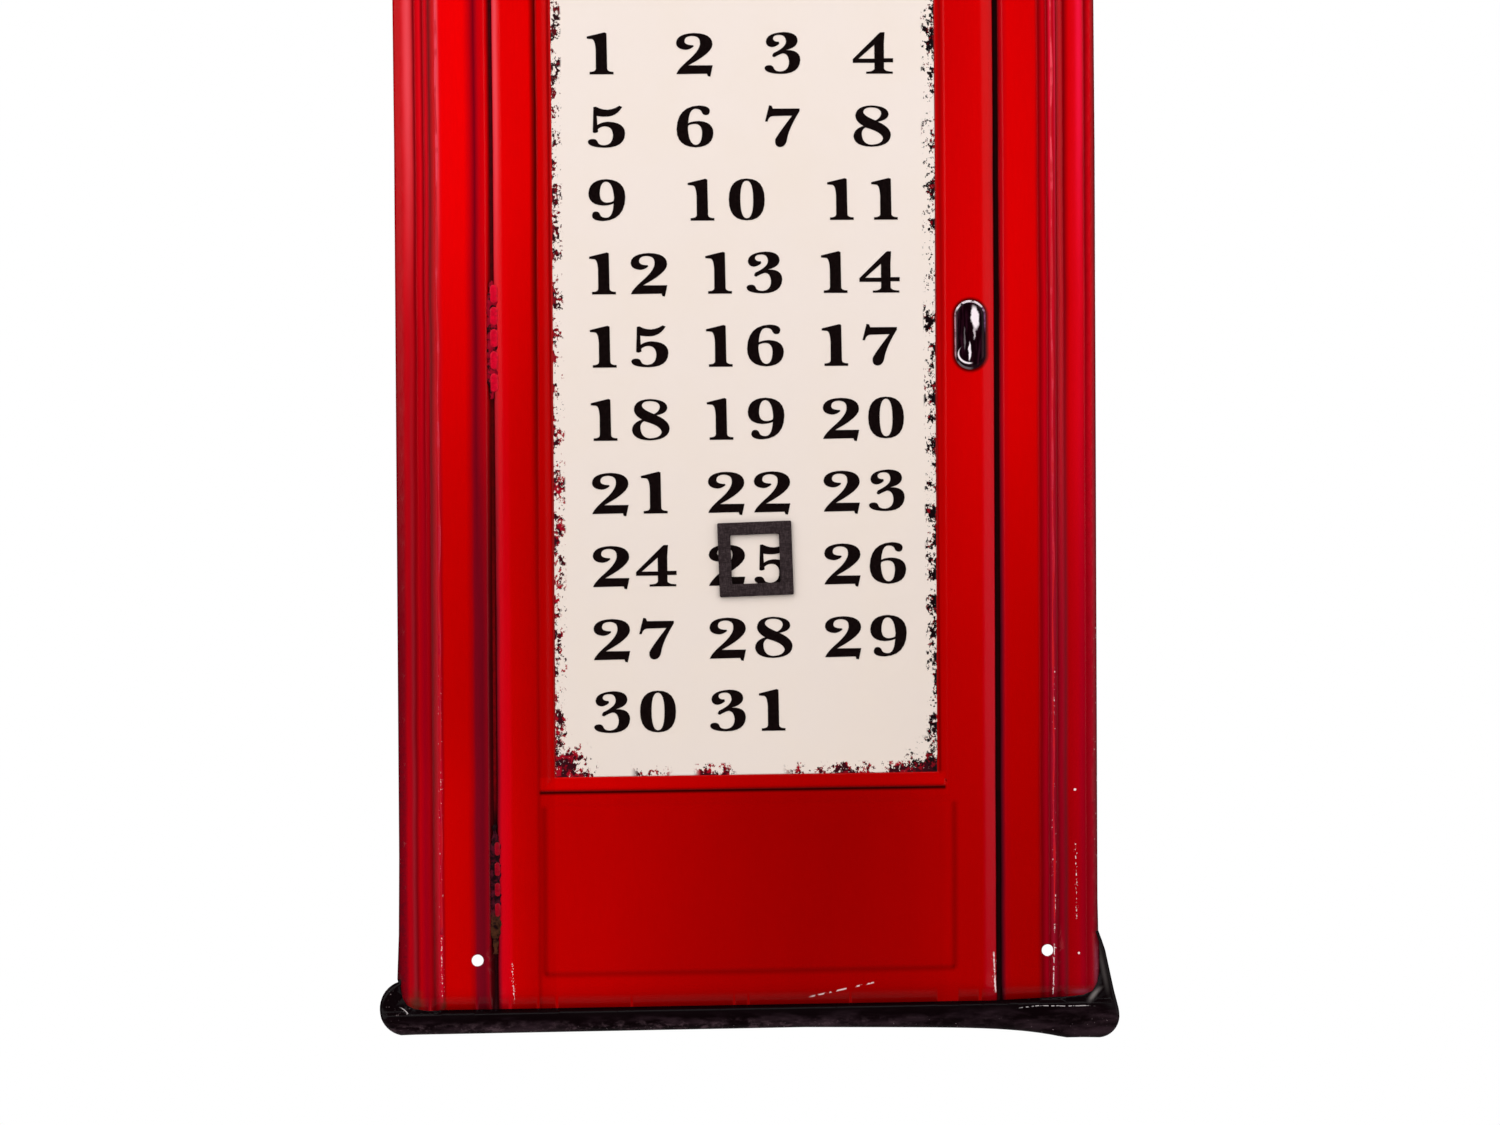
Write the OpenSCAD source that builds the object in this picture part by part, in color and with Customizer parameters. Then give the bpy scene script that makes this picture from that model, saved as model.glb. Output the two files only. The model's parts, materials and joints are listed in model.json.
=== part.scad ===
// Perpetual wall calendar pressed from tin plate in the outline of a telephone booth,
// with three square magnetic markers that frame the day, the weekday and the month.
// X to the right, Z up, the wall is the plane Y = 0 and the picture faces -Y.
// Depths are distances in front of the wall. Z = 0 is the middle of the plate's bottom edge,
// which sags a little to the right, to the lower right foot.

/* [Plate outline] */
// Width of the booth between its two straight sides
body_w = 238; // [220:1:290]
// Height of the roof arc above the cornice
roof_rise = 54; // [40:1:66]
// Height of the cornice strip under the roof
cornice_h = 14; // [9:1:17]
// How far the cornice stands out past each side
cornice_out = 4; // [2:0.5:6]
// Radius of the rounded left foot
left_foot_r = 9.1; // [7:0.1:11]
// Radius of the rounded right foot
right_foot_r = 7.4; // [6:0.1:9]
// How much lower the right foot reaches than the left one
foot_drop = 5.2; // [4:0.1:7]
// Height of the slope above the right foot
foot_slope_h = 28; // [20:1:36]

/* [Sheet and relief] */
// Thickness of the tin plate
gauge = 0.5; // [0.3:0.05:0.6]
// Thickness that stands for the ink and lacquer of a print coat
coat = 0.1; // [0.05:0.01:0.15]
// Depth of the flat calendar field, the lowest level of the relief
field_d = 3.0; // [2:0.1:3.6]
// Height of the door leaf above the calendar field
leaf_rise = 0.8; // [0.6:0.1:1]
// Height of the booth frame above the calendar field
frame_rise = 1.6; // [1.3:0.1:1.9]
// Height of the columns, the roof rib and the cornice above the frame
column_rise = 1.2; // [0.8:0.1:1.4]
// Height of the plinth above the frame
plinth_rise = 1.9; // [1.5:0.1:2.3]

/* [Booth picture] */
// Height of the top of the black plinth
plinth_h = 8; // [7:0.2:12]
// Width of the raised column along each side
column_w = 13.5; // [10:0.5:14.5]
// Width of the flat post between a column and the door
post_w = 19.5; // [16:0.5:24]
// How far the door sits to the left of the middle
door_shift = 1.5; // [0:0.1:2.5]
// Width of the gap line beside the door
door_gap = 1.8; // [1.2:0.1:2.4]
// Height from the calendar field to the top of the door
door_head = 23; // [18:1:28]
// Height of the frame between the door and the cornice
header_h = 42; // [34:1:52]
// Width of the pressed bevel round the calendar field
bevel_w = 4.4; // [3:0.2:6]
// Height of the cream panel over the door
sign_h = 24; // [16:1:29]
// Width of the cream panel over the door
sign_w = 156; // [120:1:164]
// Length of each printed hinge
hinge_l = 40; // [28:1:50]
// Height of the printed pull handle
handle_h = 24; // [18:1:30]
// Width of the printed pull handle
handle_w = 11; // [8:0.5:14]

/* [Calendar] */
// Width of the door's stile on each side of the calendar field
stile_w = 20.6; // [17:0.2:25]
// Height of the lower edge of the calendar field
field_z = 86.6; // [76:0.2:105]
// Height of a numeral
digit_h = 14.2; // [10:0.1:15]
// Distance between rows of the calendar
row_pitch = 24.8; // [24:0.1:27]
// Distance between the three columns of dates
col_pitch = 39.4; // [38:0.1:41]
// Distance between the four columns of single numerals and weekday spots
quad_pitch = 30.1; // [28:0.1:31]
// Middle of the lowest date row above the lower edge of the field
first_row = 21.9; // [18:0.1:24]
// Gap between the dates, the weekdays and the months, beyond a row's own pitch
block_gap = 9.8; // [6:0.1:12]
// Diameter of a weekday spot
spot_d = 9; // [6:0.5:12]

/* [Markers] */
// Outer side of a marker
marker_w = 25.2; // [22:0.1:26]
// Width of the marker's frame
marker_band = 4.3; // [3:0.1:5]
// Thickness of the marker's magnet sheet
magnet_t = 0.8; // [0.5:0.1:1.2]
// Thickness of the marker's face film
face_t = 0.2; // [0.1:0.05:0.3]
// Angle at which the date marker was put down
date_marker_tilt = 1.6; // [-5:0.1:5]
// Air under a marker, over the ink
marker_air = 0.05; // [0.03:0.01:0.1]

/* [Hanging holes] */
// Diameter of a hanging hole
hole_d = 4; // [3:0.1:5]
// Distance of a hole from the side of the booth, before the shift
hole_inset = 21.75; // [19:0.25:26]
// How far the holes sit to the right of the middle
hole_shift = 3.4; // [0:0.1:4]
// Height of the lower holes above the bottom edge
hole_z = 25; // [19:0.2:38]
// Distance of the upper holes below the cornice
hole_drop = 16; // [10:0.5:24]

/* [Hidden] */
$fn = 96;

half_w = body_w / 2;
roof_r = (half_w * half_w + roof_rise * roof_rise) / (2 * roof_rise);
rib_w = column_w * 0.7;
left_foot = [-half_w + 1, left_foot_r];
right_foot = [half_w - 1.2, right_foot_r - foot_drop];
// Height from which the plate's two sides run straight up
base_join = 12;

leaf_d = field_d + leaf_rise;
frame_d = field_d + frame_rise;
column_d = frame_d + column_rise;
cornice_d = column_d + 0.4;
plinth_d = frame_d + plinth_rise;
// Width of the sloping flank on each side of a column
column_flank = 2.4;
// The gap line lies a little deeper than the calendar field
gap_d = field_d - 0.2;
// The flanks of the door opening and of the sign recess lean at 45 degrees
opening_lean = frame_d - gap_d;
sign_lean = frame_d - leaf_d;
leaf_lean = 0.6;
// The bevel runs on a little above the leaf, so that it cuts the leaf's face cleanly
bevel_over = 0.2;
// Thin pale lines beside the columns
line_w = 1.2;
line_edge = 0.3;
line_low = plinth_h + 26;

door_w = body_w - 2 * (column_w + post_w);
field_w = door_w - 2 * stile_w;
door_l = -door_shift - door_w / 2;
door_r = -door_shift + door_w / 2;
field_l = -door_shift - field_w / 2;
field_r = -door_shift + field_w / 2;

// Rows, counted upwards: ten rows of dates, two of weekday spots, four of months
date_rows = 10;
weekday_z = field_z + first_row + date_rows * row_pitch + block_gap;
month_z = weekday_z + 2 * row_pitch + block_gap;
field_top = month_z + 3 * row_pitch + first_row;
door_top = field_top + door_head;
cornice_z = door_top + header_h;
cornice_top = cornice_z + cornice_h;
body_h = cornice_top + roof_rise;
// The sign sits a little above the middle of the header
sign_lift = 1;
sign_z = (door_top + cornice_z - sign_h) / 2 + sign_lift;
hole_span = body_w - 2 * hole_inset;
hole_rise = cornice_z - hole_drop - hole_z;

// Left edge of the dates, and the steps of the row that starts with nine
date_l = -door_shift - 1.32 * col_pitch;
nine_row = [0, 0.855 * col_pitch, 2.06 * col_pitch];
// Steps from a tens digit to the units, wider after a broad tens digit
tens_step = 1.10 * digit_h;
one_step = 0.98 * digit_h;
one_lead = 0.08 * digit_h;
four_lead = -0.06 * digit_h;
// Month numerals: height, widths of a narrow and of a broad letter, and the air between them
month_h = 0.8 * digit_h;
narrow_w = 0.38 * month_h;
broad_w = 0.84 * month_h;
letter_air = 0.4;

ink_d = field_d + coat;
marker_d = ink_d + coat + marker_air;
// The date marker was put down a little off its numeral
date_marker_off = [3.4, 1.9];
date_marker = [-door_shift + date_marker_off[0],
               field_z + first_row + 2 * row_pitch + date_marker_off[1]];
weekday_marker = [-door_shift - quad_pitch / 2, weekday_z + row_pitch];
month_marker = [-door_shift + col_pitch, month_z];

hinge_lows = [field_z - 58, field_z + 128];
hinge_knuckles = 7;
knuckle_share = 0.55;
hinge_margin = 0.1;
handle_at = [(field_r + bevel_w + door_r) / 2, field_z + 149];

// ---- plain helpers ----

// A flat shape drawn in X and Z, from depth a to depth b
module slab(a, b) {
    translate([0, -a, 0]) rotate([90, 0, 0]) linear_extrude(b - a) children();
}

module rect(x0, x1, z0, z1) {
    translate([x0, z0]) square([x1 - x0, z1 - z0]);
}

// A block from depth a to depth b whose four sides lean out by lean at depth b
module lean_block(x0, x1, z0, z1, a, b, lean) {
    over = max(lean, 0);
    intersection() {
        translate([0, 0, z0 - over]) linear_extrude(z1 - z0 + 2 * over)
            polygon([[x0, -a], [x1, -a], [x1 + lean, -b], [x0 - lean, -b]]);
        translate([x0 - over, 0, 0]) rotate([90, 0, 90]) linear_extrude(x1 - x0 + 2 * over)
            polygon([[-a, z0], [-a, z1], [-b, z1 + lean], [-b, z0 - lean]]);
    }
}

// ---- the pressed sheet ----

// The plate's outline, drawn g inside its true edge
module outline(g) {
    rect(-half_w + g, half_w - g, base_join, cornice_top);
    rect(-half_w - cornice_out + g, half_w + cornice_out - g, cornice_z + g, cornice_top - g);
    intersection() {
        translate([0, body_h - roof_r]) circle(roof_r - g);
        rect(-half_w, half_w, cornice_top - 2 * g - 1, body_h);
    }
    translate(left_foot) circle(left_foot_r - g);
    translate(right_foot) circle(right_foot_r - g);
    // the base sags from the middle to the lower right foot
    polygon([[left_foot[0], g], [half_w * 0.15, g], [half_w * 0.75, g - foot_drop * 0.65],
             [half_w * 0.9, g - foot_drop], [right_foot[0], g - foot_drop],
             [right_foot[0], base_join + 1], [left_foot[0], base_join + 1]]);
    polygon([[half_w - 4, right_foot[1]], [right_foot[0] + right_foot_r - g, right_foot[1]],
             [half_w - g, right_foot[1] + foot_slope_h], [half_w - 4, right_foot[1] + foot_slope_h]]);
}

// A rounded column along one side: flat top with sloping flanks
module column(x0, x1, g) {
    translate([0, 0, plinth_h]) linear_extrude(cornice_z - plinth_h)
        polygon([[x0 + g, -field_d], [x1 - g, -field_d], [x1 - g, -frame_d],
                 [x1 - column_flank, -column_d], [x0 + column_flank, -column_d], [x0 + g, -frame_d]]);
}

// The whole relief as one solid, g inside its true surface all round the sides
module relief(g) {
    difference() {
        slab(0, frame_d) outline(g);
        lean_block(door_l - door_gap - g, door_r + door_gap + g, plinth_h - 1 - g, door_top + g,
                   gap_d, frame_d + 1, opening_lean + 1);
        lean_block(-sign_w / 2 - g, sign_w / 2 + g, sign_z - g, sign_z + sign_h + g,
                   leaf_d, frame_d + 1, sign_lean + 1);
    }
    difference() {
        lean_block(door_l + g, door_r - g, plinth_h - 1 + g, door_top - door_gap - g,
                   0, leaf_d, -leaf_lean);
        lean_block(field_l - g, field_r + g, field_z - g, field_top + g,
                   field_d, leaf_d + bevel_over, bevel_w * (leaf_rise + bevel_over) / leaf_rise);
    }
    intersection() {
        slab(0, body_h) outline(g);
        union() {
            column(-half_w, -half_w + column_w, g);
            column(half_w - column_w, half_w, g);
            lean_block(-half_w - 20 + g, half_w + 20 - g, -20, plinth_h - g,
                       0, plinth_d, -plinth_rise);
            lean_block(-half_w - cornice_out + g, half_w + cornice_out - g, cornice_z + g,
                       cornice_top - g, 0, cornice_d, -column_rise);
        }
    }
    slab(field_d, column_d) intersection() {
        difference() {
            translate([0, body_h - roof_r]) circle(roof_r - g);
            translate([0, body_h - roof_r]) circle(roof_r - rib_w + g);
        }
        rect(-half_w, half_w, cornice_top - 1, body_h);
    }
}

module hole_cuts() {
    for (x = [-1, 1], z = [0, 1])
        translate([hole_shift + x * hole_span / 2, 1, hole_z + z * hole_rise]) rotate([90, 0, 0])
            cylinder(h = plinth_d + 4, d = hole_d);
}

module steel_plate() {
    color("silver") difference() {
        relief(0);
        translate([0, gauge, 0]) relief(gauge);
        hole_cuts();
    }
}

// ---- print coats ----

// One flat level of the red coat: the children, without what lies at another level
module red_level(d) {
    slab(d, d + coat) difference() {
        children(0);
        for (i = [1:1:$children - 1]) children(i);
        for (x = [-1, 1], z = [0, 1])
            translate([hole_shift + x * hole_span / 2, hole_z + z * hole_rise]) circle(d = hole_d);
    }
}

module columns_flat(inset) {
    for (s = [0, 1]) mirror([s, 0])
        rect(-half_w + inset, -half_w + column_w - inset, plinth_h, cornice_z);
}

module cornice_flat(inset) {
    rect(-half_w - cornice_out + inset, half_w + cornice_out - inset, cornice_z + inset,
         cornice_top - inset);
}

module roof_flat(edge, rib) {
    intersection() {
        difference() {
            translate([0, body_h - roof_r]) circle(roof_r - edge);
            translate([0, body_h - roof_r]) circle(roof_r - rib);
        }
        rect(-half_w, half_w, cornice_top, body_h);
    }
}

module red_print() {
    color([0.84, 0.02, 0.03]) {
        red_level(frame_d) {
            rect(-half_w, half_w, plinth_h, cornice_z);
            columns_flat(0);
            rect(door_l - door_gap - opening_lean, door_r + door_gap + opening_lean, 0,
                 door_top + opening_lean);
            rect(-sign_w / 2 - sign_lean, sign_w / 2 + sign_lean, sign_z - sign_lean,
                 sign_z + sign_h + sign_lean);
        }
        red_level(frame_d) roof_flat(rib_w, roof_r - 1);
        red_level(leaf_d) {
            rect(door_l + leaf_lean, door_r - leaf_lean, plinth_h, door_top - door_gap - leaf_lean);
            rect(field_l - bevel_w, field_r + bevel_w, field_z - bevel_w, field_top + bevel_w);
            translate(handle_at) handle_flat();
        }
        red_level(column_d) columns_flat(column_flank);
        red_level(column_d) roof_flat(0, rib_w);
        red_level(cornice_d) cornice_flat(column_rise);
    }
}

module black_plinth_print() {
    color([0.06, 0.03, 0.05]) slab(plinth_d, plinth_d + coat) intersection() {
        outline(0);
        rect(-half_w - 10, half_w + 10, -foot_drop - 1, plinth_h - plinth_rise);
    }
}

module cream_calendar_print() {
    color([0.93, 0.87, 0.82]) slab(field_d, field_d + coat)
        rect(field_l, field_r, field_z, field_top);
}

module cream_sign_print() {
    color([0.93, 0.87, 0.82]) slab(leaf_d, leaf_d + coat)
        rect(-sign_w / 2, sign_w / 2, sign_z, sign_z + sign_h);
}

// The gap line runs up both sides of the door and across its top
module door_gap_shape() {
    difference() {
        rect(door_l - door_gap, door_r + door_gap, plinth_h + 0.5, door_top);
        rect(door_l, door_r, plinth_h, door_top - door_gap);
    }
}

module door_gap_print() {
    color([0.1, 0.02, 0.03]) slab(gap_d, gap_d + coat) door_gap_shape();
}

// Thin pale lines printed on the frame beside each column
module column_line_print() {
    color([0.95, 0.6, 0.55]) slab(frame_d + coat, frame_d + 2 * coat)
        for (s = [0, 1]) mirror([s, 0])
            rect(-half_w + column_w + line_edge, -half_w + column_w + line_edge + line_w,
                 line_low, cornice_z - 2);
}

module hinge_print() {
    pitch = hinge_l / hinge_knuckles;
    color([0.08, 0.02, 0.04]) slab(gap_d + coat, gap_d + 2 * coat)
        for (low = hinge_lows, i = [0:hinge_knuckles - 1])
            rect(door_l - door_gap + hinge_margin, door_l - hinge_margin,
                 low + i * pitch, low + (i + knuckle_share) * pitch);
}

module handle_flat() {
    r = handle_w / 2;
    square([handle_w, handle_h - 2 * r], center = true);
    for (s = [-1, 1]) translate([0, s * (handle_h / 2 - r)]) circle(r);
}

module pull_handle_print() {
    color([0.12, 0.06, 0.1]) slab(leaf_d, leaf_d + coat) translate(handle_at) handle_flat();
}

// ---- numerals ----
// An outline is a list of [x, y] corners and [x, y, 1] curve handles, in hundredths of the
// numeral's height. Two handles in a row meet at a point half way between them.

function pick(p, i) = p[(i + len(p)) % len(p)];
function flat(p) = [p[0], p[1]];
function half_way(a, b) = (flat(a) + flat(b)) / 2;
function edge_point(p, i, step) =
    len(pick(p, i + step)) == 2 ? pick(p, i + step) : half_way(pick(p, i), pick(p, i + step));
function bow(a, h, b, n) = [for (k = [0:n - 1]) let (t = k / n)
    (1 - t) * (1 - t) * a + 2 * t * (1 - t) * flat(h) + t * t * b];
function outline_points(p, n = 6) = [for (i = [0:len(p) - 1])
    each len(p[i]) == 2
        ? [p[i]]
        : let (q = bow(edge_point(p, i, -1), p[i], edge_point(p, i, 1), n))
          len(pick(p, i - 1)) == 2 ? [for (k = [1:n - 1]) q[k]] : q];
function ring(cx, cy, rx, ry) = [[cx, cy + ry], [cx + rx, cy + ry, 1], [cx + rx, cy],
    [cx + rx, cy - ry, 1], [cx, cy - ry], [cx - rx, cy - ry, 1], [cx - rx, cy],
    [cx - rx, cy + ry, 1]];
function turned(p) = [for (q = p) len(q) == 3 ? [88 - q[0], 100 - q[1], 1] : [88 - q[0], 100 - q[1]]];

six = [[[54, 100], [80, 99, 1], [80, 87], [79, 77, 1], [71, 77], [63, 77, 1], [58, 92, 1], [45, 92],
        [30, 91, 1], [28, 58], [38, 63, 1], [54, 63], [88, 61, 1], [88, 34], [86, 1, 1], [45, 0],
        [0, 2, 1], [0, 43], [2, 98, 1]],
       [[45, 56], [61, 55, 1], [61, 34], [60, 6, 1], [45, 6], [29, 8, 1], [27, 45], [28, 52],
        [35, 56, 1]]];

DIGITS = [
    [ring(43, 50, 43, 50), ring(43, 50, 15.5, 45)],
    [[[0, 90], [42, 100], [47, 98], [48, 14], [48, 6, 1], [63, 6], [63, 0], [6, 0], [6, 6],
      [21, 6, 1], [21, 14], [21, 58], [20, 83, 1], [12, 84], [0, 85]]],
    [[[45, 98], [88, 97, 1], [88, 71], [88, 51, 1], [30, 21], [88, 21], [82, -6], [76, -5], [74, 1],
      [1, 0], [4, 12, 1], [33, 36], [60, 60, 1], [58, 76], [58, 90, 1], [40, 91], [21, 91, 1],
      [21, 78], [22, 69, 1], [42, 69], [43, 66], [34, 58, 1], [23, 58], [1, 60, 1], [1, 75],
      [3, 97, 1]]],
    [[[47, 100], [80, 99, 1], [80, 79], [79, 63, 1], [52, 57], [86, 58, 1], [86, 33], [84, 0, 1],
      [39, 0], [1, 1, 1], [0, 14], [1, 21, 1], [12, 21], [20, 21, 1], [25, 6, 1], [39, 6],
      [59, 8, 1], [59, 30], [57, 49, 1], [44, 49], [34, 46, 1], [24, 40], [15, 41, 1], [22, 50],
      [53, 64, 1], [52, 78], [51, 93, 1], [37, 93], [21, 93, 1], [21, 84], [23, 76, 1], [35, 77],
      [36, 72], [27, 64, 1], [17, 64], [4, 66, 1], [4, 78], [6, 98, 1]]],
    [[[0, 35], [64, 97], [67, 99], [77, 99], [75, 72], [75, 37], [97, 37], [97, 27], [75, 27],
      [75, 12], [78, 5, 1], [96, 5], [96, 0], [32, 0], [32, 5], [50, 5, 1], [52, 12], [52, 26],
      [0, 26]],
     [[14, 36], [52, 36], [52, 69]]],
    [[[14, 97], [20, 98], [48, 82, 1], [76, 100], [83, 97], [68, 73, 1], [42, 74], [30, 74, 1],
      [22, 76], [23, 54], [34, 62, 1], [50, 62], [89, 60, 1], [89, 34], [88, 0, 1], [40, 0],
      [1, 1, 1], [0, 14], [1, 21, 1], [12, 21], [21, 21, 1], [26, 6, 1], [40, 6], [60, 8, 1],
      [60, 31], [59, 51, 1], [40, 51], [30, 50, 1], [24, 44], [25, 38], [17, 33, 1], [12, 37]]],
    six,
    [[[10, 100], [16, 99], [19, 92], [83, 92], [83, 86], [58, 46, 1], [53, 22], [50, 0, 1], [35, 0],
      [22, 1, 1], [24, 18], [28, 28, 1], [65, 75], [20, 74], [9, 74, 1], [6, 61], [0, 61]]],
    [[[44, 99], [84, 97, 1], [85, 78], [84, 64, 1], [59, 60], [90, 46, 1], [90, 28], [88, 1, 1],
      [43, 0], [2, 1, 1], [0, 25], [1, 43, 1], [24, 50], [5, 60, 1], [5, 75], [7, 98, 1]],
     [[44, 94], [66, 93, 1], [67, 80], [66, 69, 1], [53, 63], [23, 75, 1], [24, 84], [26, 94, 1]],
     [[29, 46], [19, 41, 1], [20, 29], [22, 6, 1], [43, 5], [69, 6, 1], [71, 20], [69, 35, 1]]],
    [for (p = six) turned(p)]];

ONE = [[[2, 0], [36, 0], [36, 6], [28, 8], [28, 92], [36, 94], [36, 100], [2, 100], [2, 94],
        [10, 92], [10, 8], [2, 6]]];
FIVE = [[[0, 100], [34, 100], [34, 94], [28, 93], [46, 32], [62, 93], [56, 94], [56, 100], [82, 100],
         [82, 94], [76, 93], [46, 0], [40, 0], [8, 93], [0, 94]]];
TEN = [[[2, 0], [30, 0], [30, 6], [22, 7], [41, 38], [59, 7], [52, 6], [52, 0], [86, 0], [86, 6],
        [79, 7], [52, 51], [76, 93], [83, 94], [83, 100], [56, 100], [56, 94], [66, 93], [48, 62],
        [30, 93], [36, 94], [36, 100], [3, 100], [3, 94], [9, 93], [35, 53], [8, 7], [2, 6]]];
MONTHS = [[1], [1, 1], [1, 1, 1], [1, 5], [5], [5, 1], [5, 1, 1], [5, 1, 1, 1], [1, 10], [10],
          [10, 1], [10, 1, 1]];

module glyph(rings, h) {
    scale(h / 100) difference() {
        polygon(outline_points(rings[0]));
        for (i = [1:1:len(rings) - 1]) polygon(outline_points(rings[i]));
    }
}

function lead(d) = d == 1 ? one_lead : d == 4 ? four_lead : 0;

module date(n) {
    tens = floor(n / 10);
    units = n % 10;
    if (tens > 0) glyph(DIGITS[tens], digit_h);
    step = tens == 0 ? 0 : tens == 1 ? one_step : tens_step;
    translate([step + (tens == 0 ? 0 : lead(units)), 0]) glyph(DIGITS[units], digit_h);
}

function date_row(n) = n <= 4 ? 9 : n <= 8 ? 8 : 7 - floor((n - 9) / 3);
function date_x(n) = date_l + (n <= 8 ? ((n - 1) % 4) * quad_pitch
    : n <= 11 ? nine_row[n - 9] : ((n - 12) % 3) * col_pitch);
function row_z(r) = field_z + first_row + r * row_pitch;

module date_numerals() {
    color([0.05, 0.02, 0.02]) slab(ink_d, ink_d + coat) for (n = [1:31])
        translate([date_x(n), row_z(date_row(n)) - digit_h / 2]) date(n);
}

function letter_w(k) = k == 1 ? narrow_w : broad_w;
function letter_x(m, i) = i == 0 ? 0 : letter_x(m, i - 1) + letter_w(m[i - 1]) + letter_air;
module roman(m) {
    total = letter_x(m, len(m)) - letter_air;
    for (i = [0:len(m) - 1]) translate([letter_x(m, i) - total / 2, 0])
        glyph(m[i] == 1 ? ONE : m[i] == 5 ? FIVE : TEN, month_h);
}

module month_numerals() {
    color([0.05, 0.02, 0.02]) slab(ink_d, ink_d + coat) for (k = [0:11])
        translate([-door_shift + (k % 3 - 1) * col_pitch,
                   month_z + (3 - floor(k / 3)) * row_pitch - month_h / 2]) roman(MONTHS[k]);
}

module weekday_spots() {
    color([0.05, 0.02, 0.02]) slab(ink_d, ink_d + coat) for (k = [0:6])
        translate([-door_shift + (k % 4 - (k < 4 ? 1.5 : 1)) * quad_pitch,
                   weekday_z + (k < 4 ? 1 : 0) * row_pitch]) circle(d = spot_d);
}

// ---- markers ----

module marker_frame(at, tilt, depth, thick) {
    slab(depth, depth + thick) translate(at) rotate(tilt) difference() {
        square(marker_w, center = true);
        square(marker_w - 2 * marker_band, center = true);
    }
}

module marker_magnet(at, tilt = 0) {
    color([0.14, 0.11, 0.12]) marker_frame(at, tilt, marker_d, magnet_t);
}

module marker_face(at, tilt = 0) {
    color([0.2, 0.16, 0.18]) marker_frame(at, tilt, marker_d + magnet_t, face_t);
}

module date_marker_magnet() { marker_magnet(date_marker, date_marker_tilt); }
module date_marker_face() { marker_face(date_marker, date_marker_tilt); }
module weekday_marker_magnet() { marker_magnet(weekday_marker); }
module weekday_marker_face() { marker_face(weekday_marker); }
module month_marker_magnet() { marker_magnet(month_marker); }
module month_marker_face() { marker_face(month_marker); }

steel_plate();
red_print();
black_plinth_print();
cream_calendar_print();
cream_sign_print();
door_gap_print();
column_line_print();
hinge_print();
pull_handle_print();
date_numerals();
month_numerals();
weekday_spots();
date_marker_magnet();
date_marker_face();
weekday_marker_magnet();
weekday_marker_face();
month_marker_magnet();
month_marker_face();
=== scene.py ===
"""A perpetual wall calendar pressed from tin plate in the outline of a telephone booth.

The picture faces -Y and the wall is the plane Y = 0. Sizes are in millimetres, and a depth is
a distance in front of the wall. Three magnetic markers slide over the printed calendar.
"""
import json
import math

import bpy
import numpy as np
from mathutils import Matrix, Vector
from mathutils.geometry import delaunay_2d_cdt


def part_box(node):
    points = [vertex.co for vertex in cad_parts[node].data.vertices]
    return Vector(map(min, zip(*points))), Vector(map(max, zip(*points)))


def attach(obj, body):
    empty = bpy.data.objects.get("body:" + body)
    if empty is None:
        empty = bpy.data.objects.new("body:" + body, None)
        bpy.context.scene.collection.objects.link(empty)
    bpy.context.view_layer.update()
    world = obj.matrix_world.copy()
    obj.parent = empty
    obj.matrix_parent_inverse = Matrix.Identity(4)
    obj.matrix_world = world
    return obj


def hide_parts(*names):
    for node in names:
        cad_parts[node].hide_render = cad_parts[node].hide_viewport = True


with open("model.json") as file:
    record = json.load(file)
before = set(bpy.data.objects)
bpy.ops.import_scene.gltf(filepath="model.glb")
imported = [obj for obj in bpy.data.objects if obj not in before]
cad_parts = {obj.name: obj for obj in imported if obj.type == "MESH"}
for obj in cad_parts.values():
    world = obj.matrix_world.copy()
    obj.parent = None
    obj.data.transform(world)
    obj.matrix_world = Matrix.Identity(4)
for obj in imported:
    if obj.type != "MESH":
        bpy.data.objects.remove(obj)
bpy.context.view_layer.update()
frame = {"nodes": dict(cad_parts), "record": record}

MM = 0.001


def extent(node):
    """Lowest and highest corner of a CAD node, in millimetres."""
    low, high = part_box(node)
    return [v / MM for v in low], [v / MM for v in high]


def back_depth(node):
    """Depth of the side of a print coat that lies on the sheet."""
    return -extent(node)[1][1]


# ---- sizes ----

HALF_W = 119.0
CORNICE_OUT = 4.0
CORNICE_H = 14.0
COLUMN_W = 13.5
FLANK = 2.4
GAUGE = 0.5
COAT = 0.1
COAT_SKIN = 0.07
LEFT_FOOT_R = 9.1
RIGHT_FOOT_R = 7.4
HEM = 2.5
EDGE_R = 1.2
HINGE_GAP = 1.2
DOOR_GAP = 1.6
BEVEL = 4.4

(FIELD_L, _, FIELD_Z), (FIELD_R, _, FIELD_TOP) = extent("cream_calendar_print")
FIELD_L += 0.6
(SIGN_L, _, SIGN_Z), (SIGN_R, _, SIGN_TOP) = extent("cream_sign_print")
FIELD = FIELD_L, FIELD_R, FIELD_Z, FIELD_TOP
SIGN = SIGN_L, SIGN_R, SIGN_Z, SIGN_TOP
(GAP_L, _, _), (GAP_R, _, DOOR_TOP) = extent("door_gap_print")
GAP_L += 1.9
GAP_R -= 0.7
(PLATE_L, _, PLATE_LOW), (PLATE_R, _, BODY_H) = extent("steel_plate")
DOOR_L = GAP_L + HINGE_GAP
DOOR_R = GAP_R - DOOR_GAP
LEAF_TOP = DOOR_TOP - DOOR_GAP

FIELD_D = back_depth("cream_calendar_print")
LEAF_D = back_depth("cream_sign_print")
GAP_D = back_depth("door_gap_print")
PLINTH_D = back_depth("black_plinth_print")
FRAME_D = back_depth("column_line_print") - COAT
COLUMN_D = FRAME_D + 1.2
CORNICE_D = COLUMN_D + 0.4

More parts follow.
